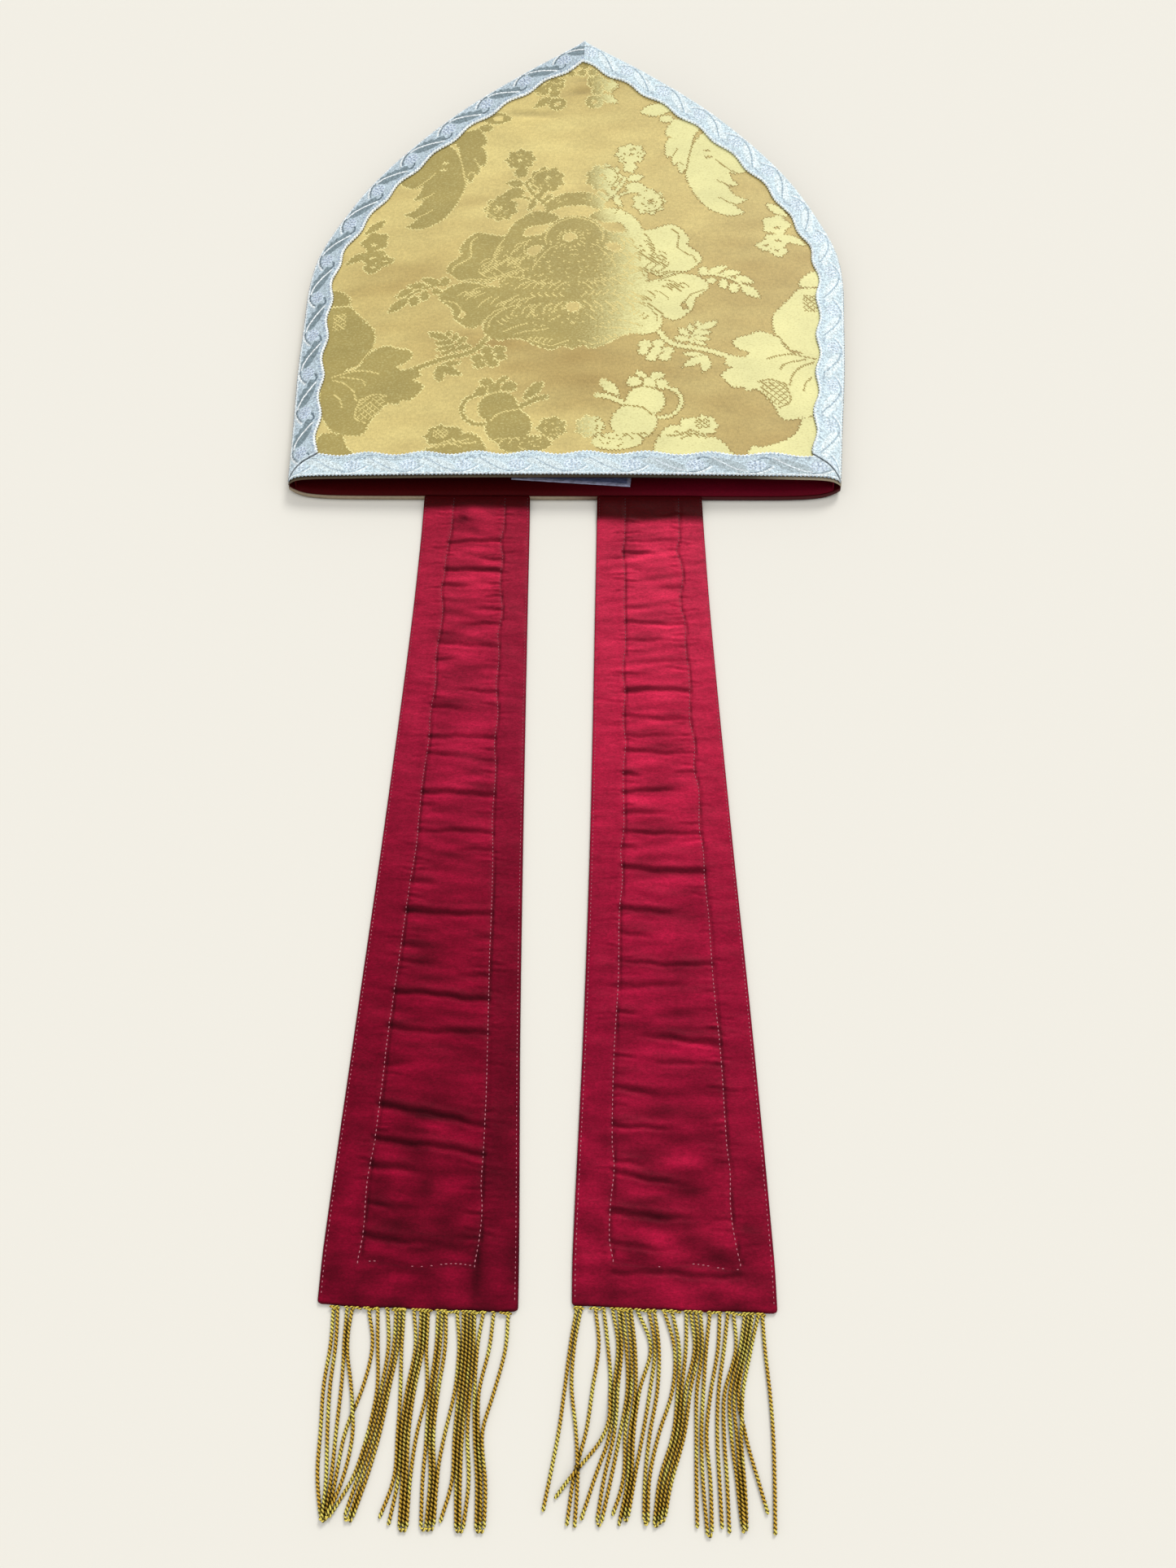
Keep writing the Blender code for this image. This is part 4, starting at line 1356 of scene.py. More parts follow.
LEFT_FOLDS = (
    # below rim, from and to (0 and 1 are the quilting lines), depth, slope
    (21, 0.05, 0.45, 0.50, -0.25), (35, 0.0, 1.0, 0.75, 0.06), (46, 0.5, 1.0, 0.55, -0.04),
    (54, 0.0, 1.0, 0.70, -0.03), (64, 0.0, 0.6, 0.55, 0.05), (79, 0.4, 1.0, 0.35, -0.03),
    (88, 0.2, 1.0, 0.50, -0.05), (101, 0.0, 1.0, 0.45, -0.10), (110, 0.0, 0.4, 0.40, 0.0),
    (128, 0.2, 1.0, 0.45, -0.05), (138, 0.0, 0.6, 0.60, -0.08), (155, 0.0, 1.0, 0.50, 0.02),
    (165, 0.0, 0.55, 0.40, -0.04), (186, 0.0, 1.0, 0.75, -0.02), (192, 0.0, 0.3, 0.45, -0.05),
    (206, 0.0, 1.0, 0.45, -0.02), (215, 0.4, 1.0, 0.40, 0.0), (232, 0.0, 0.4, 0.35, -0.06),
    (247, 0.0, 1.0, 0.70, -0.02), (263, 0.0, 0.3, 0.35, -0.1), (271, 0.0, 0.5, 0.35, 0.0),
    (277, 0.6, 1.0, 0.45, -0.02), (286, 0.0, 1.0, 0.80, -0.06), (302, 0.0, 1.0, 0.55, -0.04),
    (317, 0.0, 0.35, 0.35, 0.0), (338, 0.0, 1.0, 0.75, -0.17), (351, 0.0, 1.0, 0.75, -0.12),
    (361, 0.0, 0.6, 0.50, -0.10), (375, 0.0, 0.3, 0.40, -0.2), (389, 0.0, 0.9, 0.55, -0.10),
)
RIGHT_FOLDS = (
    # columns as on the left
    (34, -0.6, 1.6, 0.45, 0.01), (42, 0.0, 0.75, 0.75, 0.04), (53, 0.1, 0.4, 0.25, 0.0),
    (65, 0.5, 1.0, 0.35, 0.0), (77, 0.0, 0.6, 0.35, 0.0), (87, 0.0, 1.0, 0.50, 0.01),
    (97, 0.0, 0.9, 0.35, 0.0), (110, 0.1, 1.0, 0.40, 0.0), (127, 0.0, 1.0, 0.65, 0.0),
    (143, 0.0, 1.0, 0.45, -0.02), (153, 0.0, 0.8, 0.35, 0.0), (162, 0.0, 1.0, 0.50, -0.02),
    (175, 0.0, 0.3, 0.45, -0.04), (183, 0.0, 0.9, 0.60, 0.04), (195, 0.0, 0.8, 0.45, -0.01),
    (205, 0.0, 1.0, 0.50, -0.04), (213, 0.0, 0.25, 0.40, 0.0), (224, 0.0, 1.0, 0.70, -0.06),
    (236, 0.1, 0.5, 0.30, 0.0), (244, 0.0, 0.8, 0.65, -0.01), (256, 0.0, 0.5, 0.40, -0.08),
    (269, 0.0, 1.0, 0.50, -0.02), (279, 0.0, 0.9, 0.35, 0.02), (291, 0.0, 0.3, 0.35, -0.02),
    (303, 0.1, 1.0, 0.80, -0.06), (313, 0.2, 1.0, 0.35, -0.05), (326, 0.0, 0.5, 0.50, -0.12),
    (341, 0.0, 0.7, 0.65, -0.06), (355, 0.0, 0.4, 0.30, -0.01), (362, 0.0, 0.8, 0.60, -0.16),
    (376, 0.0, 0.9, 0.75, -0.01), (388, 0.0, 0.6, 0.40, -0.06), (397.6, 0.0, 1.0, 0.45, 0.0),
)
SEAM_INSET = 1.3
CORNER = 1.5  # how round the lower corners are
HEM_DEPTH = 16
STITCH_STEP = 1.93
STITCH_LENGTH = 1.05
STITCH_RADIUS = 0.24
STITCH_SIDES = 5
STITCH_SECTIONS = ((-0.5, 0.35), (0, 1.1), (0.5, 0.35))  # place along, in lengths, and how thick
GATHERS = 240  # small folds that the quilting lines' stitches pull in
LAPPET_REACH = 0.6  # how much further than the solid the cloth reaches under the rim's edge
# the right lappet painted lighter than the left, as it is lit more; both darker towards the end
CRIMSON = (
    # below rim, left lappet, right lappet
    (0, (162, 28, 56), (182, 36, 66)),
    (60, (160, 27, 56), (188, 38, 70)),
    (150, (151, 20, 52), (176, 28, 62)),
    (260, (125, 7, 38), (147, 14, 49)),
    (413, (105, 3, 30), (126, 8, 39)),
)
STITCH_DIM = srgb(158, 66, 84)  # sunk in the gathered upper part
STITCH_PINK = srgb(206, 128, 142)
RIM_SHADE = ((10.5, 16), (17, 24))  # each lappet's: where the rim's shadow ends, in mm below the rim
SHADED_RED = srgb(60, 0, 3)
LEFT_SHEEN = (
    # place across, below rim, reach across, reach down, tilt, strength
    (-44, 15, 7, 3, -0.4, 0.35), (-53, 19, 3, 7, 0.0, -0.35), (-47, 26, 5, 2.5, -0.4, -0.3),
    (-40, 44, 9, 4, 0.0, 0.2), (-40, 57, 8, 4, 0.0, 0.3), (-39, 68, 7, 5, 0.0, 0.25),
    (-52, 95, 7, 4, 0.0, -0.3), (-40, 104, 9, 4, 0.0, 0.28), (-46, 116, 11, 3.5, 0.0, -0.18),
    (-50, 136, 10, 4, 0.0, -0.25), (-38, 147, 9, 5, 0.0, 0.2), (-40, 176, 9, 6, 0.0, 0.18),
    (-66, 120, 5, 60, 0.0, 0.08), (-50, 264, 8, 11, 0.0, -0.28), (-30, 262, 8, 8, 0.0, 0.15),
    (-42, 317, 15, 4, 0.0, 0.18), (-44, 336, 15, 4, -0.1, -0.4), (-30, 345, 10, 3.5, -0.12, 0.35),
    (-44, 353, 15, 3.5, -0.12, -0.4), (-33, 364, 13, 4, -0.15, 0.25), (-40, 382, 17, 6, 0.0, -0.3),
    (-28, 390, 8, 3, 0.0, 0.3), (-70, 372, 7, 20, 0.0, 0.22), (-52, 402, 20, 4, -0.15, 0.2),
    (-50, 388, 4, 2.5, 0.3, -0.4), (-36, 391, 6, 1.8, 0.15, -0.35), (-22, 380, 6, 2.5, 0.3, 0.35),
    (-73, 380, 5, 3, -0.5, 0.25), (-52, 363, 4, 3, 0.0, 0.3), (-38, 367, 3, 5, 0.0, -0.3),
    (-15, 398, 1.6, 12, 0.06, -0.5), (-6, 403, 5, 6, -0.4, 0.28), (-8, 330, 5, 50, 0.0, -0.12),
)
RIGHT_SHEEN = (
    # columns as on the left
    (50, 37, 10, 2.5, 0.0, 0.22), (50, 95, 12, 2.5, 0.0, -0.18), (52, 106, 13, 4, 0.0, 0.14),
    (54, 148, 12, 4, 0.0, -0.14), (56, 190, 12, 4, 0.0, 0.16), (54, 224, 14, 3, 0.0, -0.2),
    (58, 245, 16, 3.5, 0.0, -0.28), (58, 255, 16, 4, 0.0, 0.2), (56, 271, 16, 3.5, 0.0, -0.2),
    (54, 298, 13, 3, 0.0, -0.35), (60, 307, 14, 3, -0.06, 0.35), (56, 334, 15, 4, 0.0, -0.28),
    (58, 339, 15, 2.5, 0.0, 0.3), (56, 346, 14, 5, 0.0, -0.25), (66, 353, 14, 3, -0.06, 0.1),
    (58, 363, 13, 3, -0.15, -0.35), (56, 377, 14, 2.5, 0.0, -0.4), (60, 384, 14, 3, 0.0, 0.22),
    (69, 381, 4, 5, 0.0, -0.25), (92, 380, 5, 20, 0.0, -0.18), (30, 370, 6, 24, 0.0, 0.14),
    (62, 403, 22, 4, -0.1, 0.16), (38, 406, 4, 5, 0.2, -0.35), (79, 404, 4, 6, 0.2, -0.35),
    (24, 405, 5, 6, 0.0, 0.15),
)


LAPPETS = {
    # sides, quilting, folds, painted sheen patches, and the lappet's column in CRIMSON and RIM_SHADE
    "left": (LEFT_LAPPET, LEFT_QUILTING, LEFT_FOLDS, LEFT_SHEEN, 0),
    "right": (RIGHT_LAPPET, RIGHT_QUILTING, RIGHT_FOLDS, RIGHT_SHEEN, 1),
}


def lappet_top(y):
    at_rim = BACK_TOP + GAP + LINING_WALL - LAPPET_WALL
    return LAPPET_WALL + at_rim * (1 - smoothstep(0, LAPPET_DROP, -y))


def both_sides(table, below):
    """The places across, at each depth below the rim, of a table's left and right line."""
    return [read_table(table, column, below) for column in (1, 2)]


def fold_fade(x, x0, x1, sewn):
    """A fold's depth across: full at the ends that are sewn down and fading out at the others."""
    share = (x - x0) / (x1 - x0)
    left = smoothstep(-0.06, 0.02, share) if sewn[0] else smoothstep(0, 0.6, share)
    right = smoothstep(-0.06, 0.02, 1 - share) if sewn[1] else smoothstep(0, 0.6, 1 - share)
    return left * right


def fold(x, y, x0, x1, y0, depth, slope, width, sewn):
    """A groove with a ridge on its upper side, between two places across the cloth."""
    middle = (x0 + x1) / 2
    fade = fold_fade(x, x0, x1, sewn)
    sway = 0.5 * np.sin(x / 6.0 + y0) + 0.25 * np.sin(x / 2.1 + 2 * y0)
    off = (y - y0 - slope * (x - middle) - sway) / width
    ridge = 0.8 * np.exp(-((off - 2.2) ** 2) / 2.4) + 0.25 * np.exp(-((off + 2.0) ** 2) / 1.5)
    return depth * fade * (ridge - np.exp(-(off**2)))


def fold_span(quilting, below, start, stop):
    """Where a fold begins and ends across."""
    line_left, line_right = (float(place) for place in both_sides(quilting, below))
    width = line_right - line_left
    return line_left + start * width, line_left + stop * width


def puffs(x, y, quilting, folds):
    """Soft shade above each fold's groove and light below it, where the cloth puffs out."""
    total = np.zeros(np.broadcast(x, y).shape)
    for below, start, stop, depth, slope in folds:
        x0, x1 = fold_span(quilting, below, start, stop)
        fade = fold_fade(x, x0, x1, (start == 0, stop == 1))
        off = y + below - slope * (x - (x0 + x1) / 2)
        total += depth * fade * (0.8 * bump(off + 3.4, 2.6) - bump(off - 1.3, 2.3))
    return total


def sheen(x, y, patches):
    """Satin lights and shades from a table of patches."""
    total = np.zeros(np.broadcast(x, y).shape)
    for place, below, across, down, tilt, strength in patches:
        dx = (x - place) / across
        dy = (y + below - tilt * (x - place)) / down
        total += strength * np.exp(-(dx**2) - dy**2)
    return total


def hem_line(x, end):
    """The y of the row of stitches above the hem. It runs a little unevenly."""
    return HEM_DEPTH - end + 0.8 * np.sin(x / 5.0)


def lappet_relief(x, y, quilting, folds, rng):
    """Puckers between the quilting lines."""
    relief = 0.24 * soft_noise(x, y * 1.6, 40, rng) + 0.1 * soft_noise(x * 0.7, y * 1.8, 17, rng)
    for below, start, stop, depth, slope in folds:
        span = fold_span(quilting, below, start, stop)
        sewn = (start == 0, stop == 1)
        relief += fold(x, y, *span, -below, depth, slope, rng.uniform(0.8, 1.2), sewn)
    return relief


def gathers(x, y, quilting, end, rng):
    """Small folds on either side of both quilting lines, that their stitches pull in."""
    relief = np.zeros(x.shape)
    for _ in range(GATHERS):
        below, side = rng.uniform(8, end - HEM_DEPTH - 4), rng.integers(0, 4)
        row_left, row_right = fold_span(quilting, below, 0, 1)
        reach = rng.uniform(3, 14)
        start = (row_left, row_right - reach, row_left - reach, row_right)[side]
        depth = rng.uniform(0.12, 0.32) * (1.5 if below < 70 else 1.0) * (0.8 if side > 1 else 1.0)
        slope = rng.uniform(-0.1, 0.1)
        sewn = (side in (0, 3), side in (1, 2))
        relief += fold(x, y, start, start + reach, -below, depth, slope, 0.6, sewn)
    return relief


def seam_grooves(x, y, quilting, left, right, end):
    """The grooves that the rows of stitches press into the cloth."""
    line_left, line_right = both_sides(quilting, -y)
    above_hem = y > -end + HEM_DEPTH - 1
    relief = np.zeros(x.shape)
    for line in (line_left, line_right):
        relief -= (0.42 * bump(x - line - 0.5, 0.7) - 0.16 * bump(x - line + 1.6, 1.6)) * above_hem
    between = (x > line_left) & (x < line_right)
    relief -= 0.35 * bump(y - hem_line(x, end), 0.7) * between
    inset = np.minimum(x - left, right - x)
    return relief - 0.25 * bump(inset - SEAM_INSET, 0.7)


def lappet_grid(table):
    """Places x and y over a lappet, from under the rim to its end with its round corners; how far
    each lies in from the edge, and how full the cloth's relief is there."""
    end = table[-1][0]
    below = np.array([*np.linspace(0, end - 4, 590), end - 3, end - 2, end - 1.2, end - 0.5, end])[:, None]
    left, right = both_sides(table, below)
    rounding = CORNER - np.sqrt(CORNER**2 - np.maximum(0, CORNER - end + below) ** 2)
    left, right = left + rounding, right - rounding
    shares = np.array([0, 0.005, 0.012, *np.linspace(0.02, 0.98, 58), 0.988, 0.995, 1])
    x = left + (right - left) * shares
    start = back_bow(x, 0.0) + GAP - LAPPET_REACH
    y = -(start + (end - start) * (below / end))
    y += 0.5 * (1 - (2 * shares - 1) ** 2) * -smoothstep(end - 60, end, -y)
    y += 0.25 * np.sin(x / 4.3) * smoothstep(end - 30, end, -y)
    edge = np.minimum(np.minimum(shares, 1 - shares) * (right - left), end - below)
    fade = smoothstep(0, 2.5, edge) * smoothstep(0, 10, -y - start)
    return x, y, left, right, edge, fade


def make_lappet(side):
    name, (table, quilting, folds, patches, column) = side + "_lappet", LAPPETS[side]
    end = table[-1][0]
    x, y, left, right, edge, fade = lappet_grid(table)
    rng = np.random.default_rng(column)
    relief = lappet_relief(x, y, quilting, folds, rng) + gathers(x, y, quilting, end, rng)
    relief += seam_grooves(x, y, quilting, left, right, end)
    z = lappet_top(y) - 0.9 * np.exp(-edge / 0.45) + relief * fade
    points, faces = top_and_base(np.stack([x, y, z], 2), lappet_top(y) - LAPPET_WALL)
    item = add_mesh(name + "_cloth", points, faces, "lappet")
    # painted light and shade of the puffs, and the satin's painted sheen
    glow = 0.95 * puffs(x, y, quilting, folds) + 2.2 * sheen(x, y, patches)
    paint(item, lappet_colours(x, y, z, edge, glow, quilting, column))
    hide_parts(name)
    make_stitches(name, table, quilting, item, RIM_SHADE[column], seed=column)


def lappet_colours(x, y, z, edge, glow, quilting, column):
    """Crimson that deepens down the lappet, with painted light on the folds' upper sides, painted sheen,
    painted shade along its edges, quilting lines and hem, and the rim's painted shadow.
    """
    rng = np.random.default_rng(40 + column)
    rows = [(below, *srgb(*shades[column])) for below, *shades in CRIMSON]
    colours = np.stack([read_table(rows, c, -y) for c in (1, 2, 3)], 2)
    slope = np.gradient(z - lappet_top(y), axis=0) / np.gradient(y, axis=0)
    shade = (1 - 0.4 * np.tanh(1.8 * slope)) * (1 + 0.6 * np.tanh(glow))
    line_left, line_right = both_sides(quilting, -y)
    between = (x >= line_left) & (x <= line_right)
    # painted sheen in soft mottles, half as strong outside the quilting lines and stronger towards the end
    broad, narrow = soft_noise(x, y * 1.7, 34, rng), soft_noise(x * 0.4, y * 1.6, 10, rng)
    shade *= 1 + np.where(between, 1, 0.5) * (0.12 * broad + 0.17 * narrow)
    shade *= 1 + 0.2 * smoothstep(300, 380, -y) * soft_noise(x, y * 1.3, 22, rng)
    if column == 0:
        shade *= 1 - 0.13 * smoothstep(-1, 4, x - line_right)
    # painted shade where the cloth rolls down at its edges
    shade *= 0.55 + 0.45 * smoothstep(0, 0.8, edge)
    stitched = -y <= quilting[-1][0]
    # painted shadow beside each quilting line
    for line in (line_left, line_right):
        shade *= 1 - 0.55 * bump(x - line - 0.9, 0.55) * stitched
    # painted shade along the row of stitches above the hem
    shade *= 1 - 0.35 * bump(y - hem_line(x, -y.min()), 0.6) * between
    lit = smoothstep(*RIM_SHADE[column], -y + 0.5 * np.sin(x / 9.0))[..., None]
    colours = (SHADED_RED + (colours * shade[..., None] - SHADED_RED) * lit).reshape(-1, 3)
    # the sides and underside painted in shade
    return np.concatenate([colours, 0.4 * colours[rim_of_grid(*x.shape)]])


def make_stitches(name, table, quilting, cloth, shade, seed):
    """Rows of small machine stitches along a lappet's edges and its quilting lines."""
    rng = np.random.default_rng(seed)
    end = table[-1][0]
    places = []
    for rows, column, inset, last in (
        (table, 1, SEAM_INSET, end - 3),
        (table, 2, -SEAM_INSET, end - 3),
        (quilting, 1, 0.0, end - HEM_DEPTH),
        (quilting, 2, 0.0, end - HEM_DEPTH),
    ):
        for below in np.arange(7, last, STITCH_STEP):
            here, there = (float(read_table(rows, column, below + d)) for d in (0, 1))
            places.append((here + inset, -below, here - there, 1.0, 1.0 if inset == 0 else 0.8))
    start, stop = fold_span(quilting, end - HEM_DEPTH, 0, 1)
    for x in np.arange(start + 1, stop, STITCH_STEP):
        if rng.uniform() < 0.14 + 0.6 * smoothstep(0.5, 0.75, (x - start) / (stop - start)):
            places.append((x, float(hem_line(x, end)), 1.0, 0.0, 0.9))
    points, faces, colours = [], [], []
    height = surface_of(cloth)
    for x, y, dx, dy, size in places:
        centre = (x, y, height(x, y) + 0.04)
        size *= rng.uniform(0.85, 1.1)
        add_stitch(points, faces, centre, (dx, dy), STITCH_LENGTH * size, STITCH_RADIUS * size)
        pale = smoothstep(60, 340, -y) * rng.uniform(0.7, 1.0)
        # the rim's painted shadow on the stitches
        light = 0.1 + 0.9 * smoothstep(*shade, -y)
        colour = (STITCH_DIM + (STITCH_PINK - STITCH_DIM) * pale) * light
        colours += [colour] * (len(points) - len(colours))
    item = add_mesh(name + "_stitches", points, faces, "lappet", "stitch")
    paint(item, np.array(colours))


def add_stitch(points, faces, centre, direction, length, radius):
    """One stitch: a short spindle that lies on the cloth."""
    start, sides = len(points), STITCH_SIDES
    along = np.array([direction[0], direction[1], 0.0]) / math.hypot(*direction)
    side = np.array([-along[1], along[0], 0.0])
    angle = np.linspace(0, 2 * np.pi, sides, endpoint=False)
    for place, scale in STITCH_SECTIONS:
        middle = np.array(centre) + along * place * length
        for c, s in zip(np.cos(angle), np.sin(angle)):
            points.append(middle + side * c * radius * scale + np.array([0, 0, s * radius * scale]))
    rings = [[start + k * sides + j for j in range(sides)] for k in range(len(STITCH_SECTIONS))]
    for ring, after in zip(rings, rings[1:]):
        quads = zip(ring, ring[1:] + ring[:1], after[1:] + after[:1], after)
        faces += [list(quad) for quad in quads]
    faces += [rings[0][::-1], rings[-1]]


def surface_of(item):
    """A function that gives a piece's height, in mm, over a place on the table."""
    tree = BVHTree.FromPolygons([v.co for v in item.data.vertices], [p.vertices for p in item.data.polygons])

    def height(x, y):
        hit = tree.ray_cast((x * MM, (y + RIM_Y) * MM, 1.0), (0, 0, -1))[0]
        return hit.z / MM if hit else 0.0

    return height


# Fringe

STATIONS = (0, 13, 28, 43, 58)  # mm below the lappet's end
LEFT_CORDS = (
    # place at each station, place and depth of the tip
    (-71.0, -70.3, -71.1, -70.2, -69.4, -66.5, 71), (-69.3, -68.3, -68.6, -67.6, -66.0, -65.4, 72.5),
    (-65.6, -64.9, -64.2, -64.2, -64.0, -64.6, 72), (-63.4, -64.0, -60.4, -57.8, -59.4, -63.8, 71),
    (-57.0, -53.8, -55.8, -60.6, -62.2, -63.4, 70.5), (-53.3, -51.8, -50.2, -51.9, -55.6, -62.6, 70.5),
    (-49.4, -47.5, -48.6, -50.4, -54.0, -57.4, 71), (-46.0, -45.4, -47.0, -48.9, -52.3, -55.7, 72),
    (-44.4, -43.8, -45.6, -47.4, -50.6, -54.6, 71.5), (-42.8, -42.4, -41.2, -40.6, -40.4, -44.6, 71.5),
    (-38.9, -36.9, -38.6, -39.4, -38.8, -40.9, 73.5), (-36.1, -35.2, -37.2, -38.0, -37.2, -36.6, 74),
    (-34.6, -34.0, -35.9, -36.6, -35.9, -35.4, 74), (-33.2, -32.8, -31.0, -33.4, -34.4, -34.4, 74),
    (-29.3, -28.8, -29.7, -29.5, -29.7, -28.8, 73.5), (-27.6, -27.4, -28.2, -28.4, -26.6, -26.8, 73.5),
    (-26.2, -25.3, -26.6, -27.3, -25.4, -25.6, 73.5), (-21.8, -19.8, -20.2, -22.8, -24.6, -24.3, 73),
    (-19.3, -18.4, -18.6, -19.0, -18.6, -22.0, 72), (-17.8, -17.0, -17.2, -17.6, -17.0, -15.6, 73.5),
    (-16.2, -15.7, -15.8, -16.2, -15.8, -14.9, 73.5), (-14.8, -14.3, -14.4, -14.2, -12.4, -13.3, 73.5),
    (-11.4, -12.8, -12.6, -11.2, -9.3, -8.4, 73.3), (-7.3, -8.1, -11.0, -10.2, -8.0, -7.2, 73.3),
    (-1.6, -1.8, -5.2, -8.8, -6.2, -5.6, 73.2),
)
RIGHT_CORDS = (
    # columns as on the left
    (25.3, 23.4, 21.9, 20.3, 17.8, 15.6, 70), (27.0, 24.9, 24.4, 26.7, 28.0, 27.5, 74.5),
    (32.5, 34.4, 32.5, 30.6, 26.6, 24.6, 74), (35.8, 37.8, 39.4, 38.0, 25.6, 19.7, 65.5),
    (39.2, 41.9, 40.6, 39.4, 34.4, 29.7, 72), (41.6, 43.2, 42.0, 41.2, 37.8, 35.6, 72.5),
    (43.0, 45.0, 45.8, 43.4, 40.4, 37.2, 72.5), (44.8, 46.8, 47.2, 45.2, 45.2, 41.1, 70.3),
    (46.4, 48.3, 48.9, 47.0, 46.5, 43.6, 73.3), (48.8, 54.6, 50.4, 48.4, 47.8, 45.4, 71),
    (53.3, 56.1, 54.4, 51.9, 49.0, 46.9, 70.3), (55.6, 57.6, 57.2, 54.5, 52.9, 52.8, 71),
    (59.4, 63.6, 62.9, 57.8, 54.5, 54.2, 72), (62.5, 65.4, 64.9, 63.2, 58.3, 56.7, 72.6),
    (68.1, 68.0, 66.3, 64.6, 59.8, 57.9, 71.5), (69.7, 71.4, 67.8, 66.0, 61.3, 59.0, 70.5),
    (71.6, 72.8, 69.6, 67.4, 62.8, 60.2, 70), (73.6, 74.3, 72.1, 71.9, 71.9, 72.2, 73),
    (77.3, 75.8, 74.6, 73.8, 74.3, 75.9, 74.8), (81.1, 80.3, 77.4, 75.7, 77.1, 77.5, 74),
    (84.2, 82.6, 80.3, 79.7, 80.4, 81.2, 72.8), (86.4, 87.2, 82.6, 82.3, 83.2, 83.8, 74),
    (90.8, 88.8, 84.6, 85.0, 87.0, 88.6, 72), (92.4, 90.2, 86.2, 87.0, 88.4, 89.2, 73.3),
    (93.9, 91.4, 87.8, 90.4, 95.0, 98.0, 67.6), (96.2, 92.6, 89.4, 88.7, 89.4, 90.0, 73),
    (97.6, 98.3, 99.8, 100.6, 100.6, 100.3, 74),
)
CORDS = {"left": LEFT_CORDS, "right": RIGHT_CORDS}
CORD_RADIUS = 0.8
CORD_LAY = 2.85  # one full turn of the two plies
CORD_SIDES = 8
CORD_STEP = 0.25
CORD_PACKING = 0.9  # how near two cords may come, in diameters
CORD_PLACES = 60  # on a cord's centre line
CORD_LOWEST = CORD_RADIUS + 0.05
CORD_LIFT = 0.35  # how much higher every other cord starts
SETTLING_ROUNDS = 40
PLY_OFFSET = 0.42  # of a ply's middle from the cord's, in cord radii
PLY_SQUARE = 0.336  # the square of a ply's own radius, in cord radii
# the cord's gold, the painted highlight on its crests and the painted shade in its grooves
CORD_GOLD = srgb(232, 186, 66)
CORD_HIGHLIGHT = srgb(255, 238, 112)
CORD_GROOVE_SHADE = srgb(44, 17, 0)
BRIGHT_RUNS = {
    # where a cord catches the light: fringe and cord, middle and half length in mm along it
    ("left_fringe", 1): (60, 11),
    ("right_fringe", 3): (25, 5),
    ("right_fringe", 9): (6, 7),
    ("right_fringe", 25): (20, 11),
}
TIP_REACH = 2.2  # tips this close together are joined by a loop


def push_apart(x, z, freedom):
    """Move neighbouring cords away from each other where they lie closer than their packing."""
    apart = 2 * CORD_RADIUS * CORD_PACKING
    for i in range(len(x) - 1):
        for j in range(i + 1, min(i + 5, len(x))):
            dx, dz = x[j] - x[i], z[j] - z[i]
            distance = np.maximum(np.hypot(dx, dz), 1e-3)
            push = 0.25 * np.maximum(0, apart - distance) / distance * freedom
            x[i] -= push * dx
            x[j] += push * dx
            z[i] -= push * dz
            z[j] += push * dz


def cord_lines(cords, end):
    """The centre line of every cord, spread apart where they would lie in each other."""
    share = np.linspace(0, 1, CORD_PLACES)
    x, y = np.zeros((2, len(cords), CORD_PLACES))
    for k, (*places, tip) in enumerate(cords):
        table = np.stack([(*STATIONS, tip), places], 1)
        x[k], y[k] = read_table(table, 1, share * tip), -end - share * tip
    z = np.full_like(x, CORD_LOWEST)
    z[1::2] += CORD_LIFT
    given = x.copy()
    for _ in range(SETTLING_ROUNDS):
        push_apart(x, z, smoothstep(0, 0.06, share))
        z = np.maximum(z, CORD_LOWEST)
        for values in (x, z):
            values[:, 1:-1] = 0.5 * values[:, 1:-1] + 0.25 * (values[:, 2:] + values[:, :-2])
        x += 0.12 * (given - x)
        z = np.maximum(z - 0.02, CORD_LOWEST)
    return x, y, z


